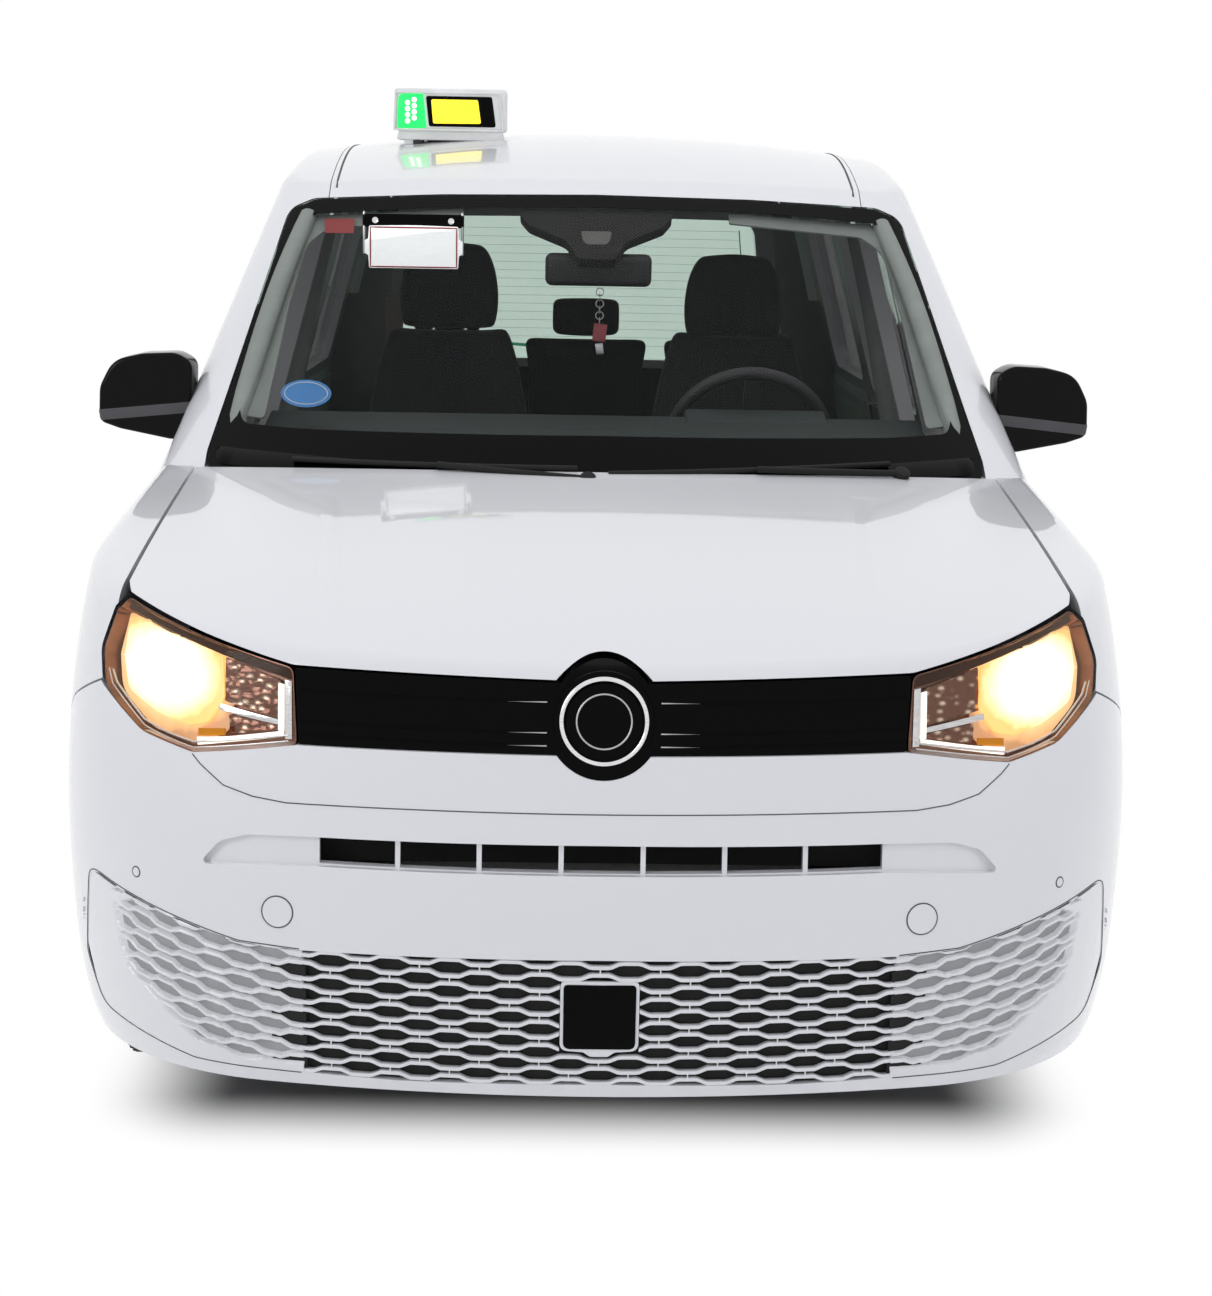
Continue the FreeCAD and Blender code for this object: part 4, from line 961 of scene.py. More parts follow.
def sideInserts():
    upper = [(0.4705, 0.4690), (0.520, 0.4715), (0.576, 0.4755), (0.66, 0.4955), (0.76, 0.5205),
             (0.838, 0.5395), (0.847, 0.538)]
    lower = [(0.4705, 0.2655), (0.60, 0.2690), (0.656, 0.2720), (0.72, 0.2850), (0.80, 0.3010),
             (0.826, 0.3140), (0.842, 0.350), (0.8595, 0.385)]

    def edgeAt(route, x):
        for (x0, z0), (x1, z1) in zip(route, route[1:]):
            if x <= x1:
                return z0 + (z1 - z0) * max(0, x - x0) / (x1 - x0)
        return route[-1][1]

    leaf = {"bar": 0.0026, "innerBar": 0.0030, "slope": 0.0026, "proud": 0.0133, "sink": 0.0105}
    start = comb["open"] - 0.0095
    only()
    bpy.ops.mesh.primitive_grid_add(x_subdivisions=190, y_subdivisions=104, size=1)
    insert = bpy.context.object
    for vertex in insert.data.vertices:
        t, v = vertex.co.x + 0.5, vertex.co.y + 0.5
        # the outer end leans, following the recess
        far = 0.8605 - 0.0135 * max(0, (v - 0.45) / 0.55) - 0.035 * max(0, (0.45 - v) / 0.45) ** 2
        x = start + (far - start) * t
        low, high = edgeAt(lower, x) - 0.002, edgeAt(upper, x) + 0.002
        z = low + (high - low) * v
        gap = min(abs(z - rowHeight(x, row)) for row in range(-2, comb["rows"] + 1))
        bar = leaf["bar"] if x > 0.55 else leaf["innerBar"]
        sunk = max(0.0, min(1.0, (gap - bar) / leaf["slope"]))
        sunk = sunk * sunk * (3 - 2 * sunk) * leafField(x, z)
        met = touch("front", x, z, ["lower_grille"])
        tries = 0
        while not met and tries < 12:  # just past the recess's edge
            tries += 1
            met = touch("front", x - 0.0015 * tries, z + (0.4 - z) * 0.01 * tries, ["lower_grille"])
        vertex.co = met[0] + met[1] * (leaf["proud"] - leaf["sink"] * sunk)
    faceTo(insert, "front")
    modify(insert, "SOLIDIFY", thickness=0.003, offset=-1)
    bothSides(insert, "side_grille_insert", bodyPaint, angle=60)
    # the leaves next to the comb are open in every second row
    holes = []
    for row in range(1, comb["rows"] - 1, 2):
        route = [0.466 + 0.0565 * k / 8 for k in range(9)]
        outline = [Vector((x, rowHeight(x, row) - 0.0012)) for x in route]
        outline += [Vector((x, rowHeight(x, row + 1) + 0.0012)) for x in reversed(route)]
        holes.append(skin("front", outline, ["lower_grille"], 0.0085, 0.0006, 0.02))
    bothSides(joined(holes), "side_open_leaves", pitchBlack)
    # a grey plate under the sunk leaves: painted shade in their hollows
    floor = skin("front", [(472, 470, 1), (576, 474, 1), (740, 519, 1), (786, 500, 1),
                           (780, 470, 1), (774, 433, 1), (761, 395, 1), (725, 369, 1),
                           (690, 338, 1), (650, 303, 1), (579, 286, 1), (560, 272, 1),
                           (472, 270, 1)], ["lower_grille"], 0.0052, 0.0006, 0.02)
    bothSides(floor, "side_leaf_floor", leafPaintedShade)
    edge = rounded([(477, 474.5, 0), (576, 480.5, 60), (850, 549, 24), (865.5, 382, 60),
                    (832, 304, 40), (656, 264.5, 60), (477, 261, 0)])
    line = traced("front", [tuple(point) for point in edge], ["front_bumper"], 0.0010, 0.0, 0.008)
    bothSides(line, "side_insert_edge", seamShadow)


def radarPlate():
    plate = {"outline": [(-57, 436, 7), (57, 436, 7), (57, 328, 12), (-57, 328, 12)],
             "frame": [(-62, 441, 9), (62, 441, 9), (62, 324, 14), (25, 322, 6), (14, 314, 8),
                       (-14, 314, 8), (-25, 322, 6), (-62, 324, 14)]}
    settle(skin("front", plate["frame"], ["lower_grille"], 0.013, 0.006, 0.03, 0.0015),
           "radar_frame", bodyPaint)
    settle(skin("front", plate["outline"], ["lower_grille"], 0.0155, 0.006, 0.03, 0.0018),
           "radar_plate", glossBlack)


honeycomb()
sideInserts()
radarPlate()
print("lower grille made")


def bonnetCreases():
    # a soft fold down each side of the bonnet
    fold = {"rear": (0.500, 1.098), "front": (0.440, 0.952), "half": 0.030, "rise": 0.0030}
    (x0, z0), (x1, z1) = fold["rear"], fold["front"]
    only()
    bpy.ops.mesh.primitive_grid_add(x_subdivisions=12, y_subdivisions=36, size=1)
    crease = bpy.context.object
    start = touch("front", x0, z0, ["bonnet"])[0].y
    end = touch("front", x1, z1, ["bonnet"])[0].y
    for vertex in crease.data.vertices:
        u, v = vertex.co.x * 2, vertex.co.y + 0.5
        x = x0 + (x1 - x0) * v + u * fold["half"]
        met = touch("top", x, start + (end - start) * v, ["bonnet"])
        lift = (1 - abs(u)) ** 1.6 * min(1.0, v / 0.2, (1 - v) / 0.25) * fold["rise"]
        vertex.co = met[0] + met[1] * (lift - 0.0004)
    faceTo(crease, "top")
    modify(crease, "SOLIDIFY", thickness=0.0012, offset=-1)
    bothSides(crease, "side_bonnet_crease", bodyPaint, "bonnet", 80)


bonnetCreases()


# cabin
doors = {"front_door": (["left_front_door"], "side_door"),
         "sliding_door": (["left_sliding_door"], "cab")}


def stuffed(name, points, low, high, reach=0.022, voxel=0.012, soften=6, narrow=0.0):
    # a pad from its side outline in mm, puffed up by cloth and pressure
    start = slab("left", points, low, high, 0.012, 2)
    modify(start, "REMESH", mode="VOXEL", voxel_size=voxel)
    middle, foot = (low + high) / 2, min(vertex.co.z for vertex in start.data.vertices)
    tall = max(vertex.co.z for vertex in start.data.vertices) - foot
    for vertex in start.data.vertices:
        share = max(0.0, (vertex.co.z - foot) / tall - 0.55) / 0.45
        vertex.co.x = middle + (vertex.co.x - middle) * (1 - narrow * share * share)
    modify(start, "SMOOTH", factor=0.6, iterations=soften)
    before = [vertex.co.copy() for vertex in start.data.vertices]
    only(start)
    cloth = start.modifiers.new("cloth", "CLOTH")
    cloth.settings.use_pressure = True
    cloth.settings.uniform_pressure_force = 4
    cloth.settings.quality = 5
    cloth.settings.effector_weights.gravity = 0
    for number in range(1, 21):
        bpy.context.scene.frame_set(number)
    bpy.ops.object.modifier_apply(modifier=cloth.name)
    bpy.context.scene.frame_set(1)
    for vertex, was in zip(start.data.vertices, before):
        move = vertex.co - was
        if move.length > reach:
            vertex.co = was + move * (reach / move.length)
    modify(start, "SUBSURF", levels=1, render_levels=1)
    settle(start, name, seatCloth, angle=180)
    return start


def padTwin(piece, name, shift=None):
    # mirrored, or moved sideways by shift
    if shift is None:
        other = twin(piece, name, seatCloth, angle=180)
    else:
        other = copyOf(piece)
        other.parent = None
        for vertex in other.data.vertices:
            vertex.co.x += shift
        settle(other, name, seatCloth, angle=180)


def frontSeats():
    seat = {"cushion": [(1705, 486), (1700, 552), (1760, 578), (1900, 578), (2140, 556),
                        (2200, 480)],
            "back": [(2142, 575), (2228, 990), (2300, 1350), (2378, 1350), (2334, 970),
                     (2272, 545)],
            "rest": [(2302, 1334), (2308, 1538), (2384, 1540), (2390, 1342)]}
    pads = {"seat_cushion": stuffed("driver_seat_cushion", seat["cushion"], 0.135, 0.575),
            "seat_back": stuffed("driver_seat_back", seat["back"], 0.126, 0.582, narrow=0.30),
            "headrest": stuffed("driver_headrest", seat["rest"], 0.238, 0.472, 0.016, 0.009, 3,
                                0.26)}
    for part, piece in pads.items():
        padTwin(piece, "passenger_" + part)
    for vertex in pads["headrest"].data.vertices:
        vertex.co.z -= 0.018  # the driver's is set lower
    shell = slab("left", [(1745, 300), (1720, 440), (1700, 470), (2210, 470), (2290, 500),
                          (2285, 560), (2180, 520), (2140, 300)], 0.15, 0.56, 0.012)
    bothSides(shell, "side_seat_frame", blackPlastic)
    posts = [wire([(x, fromNose(2345), 1.28), (x, fromNose(2347), 1.345),
                   (x, fromNose(2347), 1.42)], 0.006) for x in (0.315, 0.395)]
    bothSides(joined(posts), "side_headrest_posts", chrome)
    # stitched seams down the backrest and over the cushion
    for i, x in enumerate((0.215, 0.495)):
        seam = [(x, fromNose(s), z) for s, z in ((2140, 0.62), (2178, 0.80), (2222, 0.99),
                                                 (2262, 1.16), (2290, 1.28))]
        bothSides(wire(seam, 0.0022, smooth=True), "side_seat_seam_%d" % i, sealRubber)
    for node in ("driver_seat", "passenger_seat"):
        standIns.append((node + "_back", [node]))


def rearBench():
    bench = {"cushion": [(2950, 500), (2945, 585), (3010, 606), (3150, 610), (3360, 594),
                         (3400, 520)],
             "back": [(3392, 612), (3460, 900), (3522, 1268), (3576, 1266), (3538, 880),
                      (3486, 600)],
             "rest": [(3508, 1256), (3512, 1364), (3572, 1364), (3580, 1258)], "shift": 0.42}
    pads = {"cushion": stuffed("bench_cushion_middle", bench["cushion"], -0.195, 0.195,
                               voxel=0.014),
            "back": stuffed("bench_back_middle", bench["back"], -0.195, 0.195, voxel=0.014),
            "headrest": stuffed("bench_headrest_middle", bench["rest"], -0.100, 0.100, 0.014,
                                0.010)}
    for part, piece in pads.items():
        for side, shift in (("left", bench["shift"]), ("right", -bench["shift"])):
            padTwin(piece, "bench_%s_%s" % (part, side), shift)
    frameSide = slab("left", [(3000, 300), (2960, 480), (3400, 490), (3500, 640), (3588, 1150),
                              (3560, 1160), (3440, 640), (3330, 520), (3190, 470), (3190, 300)],
                     -0.46, 0.46, 0.01)
    settle(frameSide, "bench_frame", blackPlastic)
    standIns.append(("bench_frame", ["rear_bench"]))


def dashboardDetails():
    # pad over the dials, blank screen, vents, column shroud and console
    dash = {"hood": [(1340, 1150, 10), (1370, 1200, 30), (1450, 1218, 24), (1484, 1206, 12),
                     (1476, 1140, 10), (1340, 1120, 10)],
            "console": [(1430, 292, 6), (1420, 740, 20), (1560, 745, 40), (1640, 560, 60),
                        (1900, 470, 60), (2120, 460, 20), (2120, 292, 6)],
            "pad": [(1215, 1120, 6), (1215, 1146, 10), (1300, 1184, 40), (1415, 1204, 40),
                    (1482, 1192, 16), (1490, 1140, 10)]}
    hood = slab("left", dash["hood"], 0.19, 0.49, 0.014)
    settle(hood, "dial_hood", dashGreen)
    dials = slab("rear", [(210, 1172, 20), (470, 1172, 20), (462, 1092, 20), (218, 1092, 20)],
                 fromNose(1452), fromNose(1464), 0.003)
    settle(dials, "dial_panel", glossBlack)
    for i, x in enumerate((0.270, 0.410)):
        ring = hoop(0.034, 0.0022, (x, fromNose(1465), 1.132))
        settle(ring, "dial_ring_%d" % i, satinSilver)
        needle = block((0.003, 0.003, 0.028), (x, fromNose(1466), 1.140), 0.001, 1, (0, 35, 0))
        settle(needle, "dial_needle_%d" % i, amberLens)
    screen = block((0.245, 0.016, 0.135), (-0.02, fromNose(1500), 1.092), 0.006, 3, (-14, 0, 0))
    settle(screen, "centre_screen", glossBlack)
    bezel = block((0.262, 0.012, 0.150), (-0.02, fromNose(1492), 1.091), 0.007, 3, (-14, 0, 0))
    settle(bezel, "centre_screen_frame", blackPlastic)
    pad = slab("left", dash["pad"], -0.685, 0.685, 0.016)
    settle(pad, "dash_top_pad", dashGreen)
    console = slab("left", dash["console"], -0.105, 0.085, 0.02)
    settle(console, "centre_console", blackPlastic)
    knob = [block((0.045, 0.050, 0.060), (-0.01, fromNose(1720), 0.700), 0.02, 4, (18, 0, 0)),
            block((0.022, 0.022, 0.120), (-0.01, fromNose(1706), 0.615), 0.008, 3, (10, 0, 0))]
    settle(joined(knob), "gear_lever", glossBlack)
    for i, (x, wide, z) in enumerate(((0.625, 0.14, 1.015), (0.02, 0.20, 0.965),
                                      (-0.60, 0.16, 1.015))):
        frameBox = block((wide, 0.016, 0.075), (x, fromNose(1552), z), 0.01, 3, (-10, 0, 0))
        slats = [block((wide - 0.024, 0.014, 0.004), (x, fromNose(1560), z - 0.022 + 0.011 * k),
                       0.0015, 2, (18, 0, 0)) for k in range(5)]
        settle(frameBox, "vent_frame_%d" % i, blackPlastic)
        settle(joined(slats), "vent_slats_%d" % i, satinSilver)
    glove = slab("rear", [(-590, 900, 14), (-180, 900, 14), (-190, 770, 20), (-580, 770, 20)],
                 fromNose(1540), fromNose(1560), 0.006)
    settle(glove, "glovebox_lid", greyPlastic)
    column = wire([(0.338, fromNose(1420), 1.065), (0.338, fromNose(1540), 1.122)], 0.048)
    settle(column, "column_shroud", blackPlastic)
    print("dashboard done")


def trims():
    # pale pillar trims, roof lining and the inner faces of doors and walls
    for name, points, radius in (
            ("a_pillar_trim", [(0.757, 1150, 1.080), (0.728, 1360, 1.255), (0.708, 1520, 1.380),
                               (0.680, 1700, 1.510), (0.650, 1850, 1.605)], 0.021),
            ("b_pillar_trim", [(0.765, 2325, 1.10), (0.735, 2328, 1.25), (0.695, 2330, 1.45),
                               (0.655, 2330, 1.60)], 0.028)):
        bar = wire([(x, fromNose(s), z) for x, s, z in points], radius, resolution=5, smooth=True)
        bothSides(bar, "side_" + name, trimGrey)
    pillar = skin("front", [(738, 1216, 20), (712, 1430, 60), (686, 1578, 40), (636, 1618, 30),
                            (300, 1640, 4), (300, 1618, 4), (600, 1592, 40), (648, 1560, 60),
                            (668, 1430, 60), (684, 1212, 10)], ["windscreen"], -0.014, 0.004, 0.03)
    bothSides(pillar, "side_screen_pillar", trimGrey)
    flange = slab("front", [(690, 1336, 4), (748, 1336, 4), (672, 1650, 10), (610, 1650, 10),
                            (640, 1336, 4)], fromNose(4197), fromNose(4205), 0.003)
    bothSides(flange, "side_gate_trim", trimGrey)
    lining = skin("under", oblong(-590, -330, 590, 1930, 40), ["roof_panel"], 0.004, 0.003, 0.12)
    settle(lining, "roof_lining", roofCloth)
    cards = {"front_door": [(1500, 380, 30), (2270, 380, 30), (2262, 1090, 20), (1430, 1090, 20)],
             "sliding_door": [(2420, 420, 30), (2990, 420, 60), (3240, 760, 60), (3240, 1090, 20),
                              (2400, 1090, 20)]}
    for name, outline in cards.items():
        node, body = doors[name]
        # seen from the right, the inner face of the left side comes first
        card = skin("right", outline, node, 0.006, 0.005, 0.10, 0.0015)
        bothSides(card, "side_%s_card" % name, greyPlastic, body)
        s = outline[0][0] + 90
        inset = skin("right", [(s, 640, 30), (s + 480, 640, 30), (s + 470, 900, 30),
                               (s - 10, 900, 30)], node, 0.012, 0.007, 0.08, 0.003)
        bothSides(inset, "side_%s_cloth" % name, panelCloth, body)
        rest = skin("right", oblong(s + 20, 700, s + 400, 745, 12), node, 0.045, 0.040, 0.08,
                    0.008)
        bothSides(rest, "side_%s_armrest" % name, blackPlastic, body)
    quarter = skin("right", [(3330, 640, 40), (4170, 640, 40), (4190, 1110, 20), (3330, 1110, 20)],
                   ["left_side_frame"], 0.006, 0.004, 0.10, 0.001)
    bothSides(quarter, "side_boot_trim", trimGrey)
    cap = slab("front", [(655, 780, 10), (872, 780, 10), (868, 1130, 20), (796, 1345, 10),
                         (655, 1345, 10)], fromNose(4196), fromNose(4206), 0.003)
    bothSides(cap, "side_lamp_trim", trimGrey)
    floorMat = slab("top", oblong(-640, -880, 640, 1150, 60), 0.290, 0.294, 0.001)
    settle(floorMat, "floor_carpet", panelCloth)


def screenThings():
    outer = [(0, 1111), (779, 1111), (783, 1141), (693, 1617), (638, 1642), (350, 1655), (0, 1660)]
    inner = [(0, 1636), (350, 1631), (636, 1610), (684, 1572), (711, 1426), (738, 1230),
             (722, 1192), (600, 1188), (0, 1193)]
    outer = rounded([(a, b, 0 if a == 0 else 30) for a, b in outer])
    inner = rounded([(a, b, 0 if a == 0 else 26) for a, b in inner])
    half = lay(sliced(flat("front", outer + inner), "front", 0.03), "front", ["windscreen"], 0.0008)
    faceTo(half, "front")
    modify(half, "SOLIDIFY", thickness=0.0006, offset=-1)
    bothSides(half, "side_screen_border", glossBlack, angle=60)
    pod = {"plate": [(-178, 1632, 8), (178, 1632, 8), (150, 1602, 20), (66, 1570, 30),
                     (40, 1532, 14), (-40, 1532, 14), (-66, 1570, 30), (-150, 1602, 20)],
           "eye": [(-34, 1590, 4), (34, 1590, 4), (28, 1562, 18), (-28, 1562, 18)]}
    settle(skin("front", pod["plate"], ["windscreen"], -0.008, 0.022, 0.03, 0.002), "sensor_pod",
           pitchBlack)
    settle(skin("front", pod["eye"], ["windscreen"], -0.0068, 0.002, 0.03), "sensor_window", steel)
    mirror = [block((0.236, 0.034, 0.072), (0.006, fromNose(1706), 1.500), 0.016, 5, (8, 0, 0)),
              block((0.034, 0.05, 0.050), (0.004, fromNose(1716), 1.545), 0.010, 3, (30, 0, 0))]
    settle(joined(mirror), "inner_mirror", blackPlastic)
    glass = block((0.222, 0.004, 0.060), (0.006, fromNose(1725), 1.499), 0.0015, 3, (8, 0, 0))
    settle(glass, "inner_mirror_glass", mirrorSilver)
    links = [hoop(0.0085, 0.0013, (0.010, fromNose(1700), 1.452 - 0.013 * k),
                  "X" if k % 2 else "Y", segments=24) for k in range(6)]
    settle(joined(links), "charm_links", satinSilver)
    tag = block((0.030, 0.006, 0.040), (0.011, fromNose(1700), 1.362), 0.006, 3, (0, 6, 0))
    settle(tag, "charm_tag", charmRed)
    drop = block((0.018, 0.006, 0.026), (0.011, fromNose(1700), 1.326), 0.007, 3, (0, -8, 0))
    settle(drop, "charm_drop", satinSilver)
    bracket = [block((0.225, 0.010, 0.030), (-0.406, fromNose(1732), 1.600), 0.003, 2),
               block((0.006, 0.010, 0.095), (-0.515, fromNose(1732), 1.572), 0.003, 2),
               block((0.006, 0.010, 0.095), (-0.297, fromNose(1732), 1.572), 0.003, 2)]
    settle(bracket[0], "notice_bracket", glossBlack)
    settle(joined(bracket[1:]), "notice_rails", satinSilver)
    screws = [wheelOf(0.007, 0.005, (x, fromNose(1726), 1.600), "Y", 20, 0.001, 0.002, 0.001)
              for x in (-0.490, -0.322)]
    settle(joined(screws), "notice_screws", chrome)
    plate = slab("front", rounded([(-503, 1588, 4), (-420, 1590, 2), (-390, 1590, 2),
                                   (-306, 1588, 4), (-304, 1560, 3), (-296, 1556, 3),
                                   (-296, 1528, 3), (-304, 1524, 3), (-306, 1496, 4),
                                   (-503, 1496, 4), (-505, 1524, 3), (-513, 1528, 3),
                                   (-513, 1556, 3), (-505, 1560, 3)], 3), fromNose(1716),
                 fromNose(1722), 0.001)
    settle(plate, "notice_plate", noticeWhite)
    rim = [(-500, 1585), (-309, 1585), (-309, 1499), (-500, 1499)]
    settle(wire(along([(a * mm, fromNose(1715.6), b * mm) for a, b in rim], 0.02, True), 0.0016,
                True), "notice_rim", signRed)
    settle(skin("front", [(-612, 1606, 2), (-544, 1607, 2), (-541, 1576, 2), (-607, 1575, 2)],
                ["windscreen"], -0.0066, 0.0006, 0.03), "screen_label_red", signRed)

    def oval(wide, tall):
        turns = [math.radians(10 * k) for k in range(36)]
        return [(-599 + wide * math.cos(turn), 1256 + tall * math.sin(turn)) for turn in turns]

    settle(skin("front", oval(54, 25), ["windscreen"], -0.0066, 0.0006, 0.03), "screen_label_blue",
           labelBlue)
    line = traced("front", [(a * mm, b * mm) for a, b in oval(46, 20)], ["windscreen"], 0.0009,
                  -0.0062, 0.02, True)
    settle(line, "screen_label_line", blankWhite)


def wipers():
    for i, (x0, z0, x1, z1) in enumerate(((0.60, 1.122, 0.02, 1.124),
                                          (-0.02, 1.116, -0.60, 1.130))):
        blade = traced("front", [(x0 - 0.02, z0 + 0.016), (x1, z1)], ["windscreen"], 0.0055, 0.009,
                       0.04)
        settle(blade, "wiper_blade_%d" % i, pitchBlack)
        arm = traced("front", [(x0, z0 - 0.006), ((x0 + x1) / 2, (z0 + z1) / 2 + 0.004)],
                     ["windscreen"], 0.0065, 0.017, 0.04)
        settle(arm, "wiper_arm_%d" % i, pitchBlack)
        place, normal = touch("front", x0, z0 - 0.006, ["windscreen"])
        hub = facing(wheelOf(0.016, 0.020, origin, "Y", 32, 0.004), place + normal * 0.014, normal)
        settle(hub, "wiper_hub_%d" % i, pitchBlack)


trimGrey = mouldedFinish("trimGrey", "dash_plastic", (0.24, 0.265, 0.24), 0.7, 500)
dashGreen = mouldedFinish("dashGreen", "dash_plastic", (0.012, 0.019, 0.018), 0.65, 500)
mirrorSilver = metalFinish("mirrorSilver", "rim_alloy", (0.85, 0.85, 0.86), 0.07)
# painted light: the notice plate glows though it is no lamp, so that it stays bright behind the
# windscreen
noticeWhite = glowFinish("noticeWhite", "sign_plastic", (0.93, 0.95, 0.94), 0.6)
signRed = mouldedFinish("signRed", "sign_plastic", (0.35, 0.02, 0.02), 0.4)
charmRed = mouldedFinish("charmRed", "sign_plastic", (0.30, 0.06, 0.07), 0.4)
labelBlue = mouldedFinish("labelBlue", "sign_plastic", (0.03, 0.22, 0.55), 0.3)
frontSeats()
rearBench()
print("seats made")
dashboardDetails()
trims()
screenThings()
wipers()
print("cabin made")


# sides, back and roof
def mirrors():
    # rounded housing with a grey stripe round it, its arm and the glass behind
    mirror = {"outline": [(1043, 1198, 16), (1041, 1250, 60), (1012, 1306, 60), (950, 1320, 90),
                          (880, 1323, 50), (846, 1304, 40), (848, 1240, 60), (854, 1190, 20),
                          (850, 1146, 12), (894, 1141, 30), (1000, 1162, 60), (1040, 1176, 26)],
              "arm": [(862, 1188, 6), (832, 1186, 6), (820, 1150, 6), (832, 1128, 6),
                      (846, 1133, 8), (870, 1140, 6)],
              "glass": [(1030, 1204, 14), (1026, 1256, 34), (1004, 1290, 34), (950, 1304, 50),
                        (886, 1306, 34), (866, 1296, 20), (862, 1250, 20), (866, 1176, 14),
                        (896, 1158, 20), (1006, 1176, 34), (1028, 1190, 14)]}
    shell = slab("front", rounded(mirror["outline"], 7), fromNose(1390), fromNose(1484), 0.038, 8)
    band = copyOf(shell)
    for drop, side in ((0.0, True), (-0.0215, False)):
        editing(band)
        bpy.ops.mesh.bisect(plane_co=(1.04, 0, 1.2015 + drop), plane_no=(0.10, 0, 1),
                            clear_outer=side, clear_inner=not side, use_fill=True)
        bpy.ops.object.mode_set(mode="OBJECT")
    outward(band)
    modify(band, "DISPLACE", strength=0.0008, mid_level=0.0)
    bothSides(band, "side_mirror_stripe", darkGrey, "side_door")
    bothSides(shell, "side_mirror_shell", mirrorBlack, "side_door", 180)
    arm = slab("front", mirror["arm"], fromNose(1408), fromNose(1474), 0.008, 4)
    bothSides(arm, "side_mirror_arm", blackPlastic, "side_door")
    glass = slab("front", mirror["glass"], fromNose(1483), fromNose(1486), 0.001, 2)
    bothSides(glass, "side_mirror_glass", mirrorSilver, "side_door")
    for side in ("left", "right"):
        standIns.append((side + "_mirror_shell", [side + "_door_mirror"]))
    foot = slab("left", [(1370, 1122), (1370, 1190), (1405, 1186), (1480, 1130), (1480, 1118)],
                0.800, 0.838, 0.006)
    bothSides(foot, "side_mirror_foot", blackPlastic, "side_door")


def roofSign():
    # frame, dark window, lit blank panel and the green end with its column of lamps
    nose = 2256
    window = slab("front", [(-410, 1894, 6), (-250, 1894, 6), (-240, 1822, 6), (-402, 1822, 6)],
                  fromNose(nose - 2), fromNose(nose + 3), 0.0012)
    settle(window, "sign_window", glossBlack)
    panel = slab("front", [(-397, 1886, 5), (-284, 1886, 5), (-276, 1830, 5), (-392, 1829, 5)],
                 fromNose(nose - 4.5), fromNose(nose - 1), 0.001)
    settle(panel, "sign_lit_panel", yellowLight)
    end = slab("front", [(-476, 1898, 14), (-416, 1900, 4), (-408, 1818, 4), (-480, 1816, 10)],
               fromNose(nose - 2), fromNose(nose + 3), 0.0012)
    settle(end, "sign_green_end", greenLight)
    lamps = [wheelOf(0.0062, 0.005, ((-446 + (8 if k % 2 else -8)) * mm, fromNose(nose - 3),
                                     (1834 + 7.2 * k) * mm), "Y", 20, 0.001) for k in range(8)]
    settle(joined(lamps), "sign_lamp_column", whiteLight)
    rim = [(-482, 1902), (-232, 1902), (-222, 1814), (-486, 1814)]
    bar = wire(along([(a * mm, fromNose(nose - 2), b * mm) for a, b in rim], 0.02, True), 0.0028,
               True)
    settle(bar, "sign_rim", signWhite)
    rearFace = slab("rear", oblong(-476, 1894, -226, 1822, 8), fromNose(2340), fromNose(2345.5),
                    0.0012)
    settle(rearFace, "sign_back_face", greyPlastic)
    skirt = slab("front", [(-474, 1816, 4), (-226, 1816, 4), (-218, 1790, 6), (-482, 1790, 6)],
                 fromNose(2262), fromNose(2338), 0.003)
    settle(skirt, "sign_skirt", signWhite)
    feet = [wheelOf(0.013, 0.020, (x, fromNose(s), 1.788), "Z", 32, 0.003)
            for x in (-0.430, -0.270) for s in (2276, 2324)]
    settle(joined(feet), "sign_feet", blackPlastic)


def roofDetails():
    ditch = [(0.592, fromNose(1905)), (0.596, fromNose(2400)), (0.594, fromNose(3400)),
             (0.578, fromNose(4180))]
    bothSides(traced("top", ditch, ["roof_panel"], 0.0030, -0.0012, 0.03), "side_roof_ditch",
              seamShadow)
    ribs = [skin("top", oblong(x - 34, 420, x + 34, 1740, 30), ["roof_panel"], 0.0022, 0.004, 0.05,
                 0.0018) for x in (-400, -133, 133, 400)]
    settle(joined(ribs), "roof_ribs", bodyPaint)
    base = facing(wheelOf(0.024, 0.012, origin, "Y", 36, 0.004),
                  touch("top", 0, fromNose(3990), ["roof_panel"])[0], Vector((0, 0, 1)))
    settle(base, "aerial_base", blackPlastic)


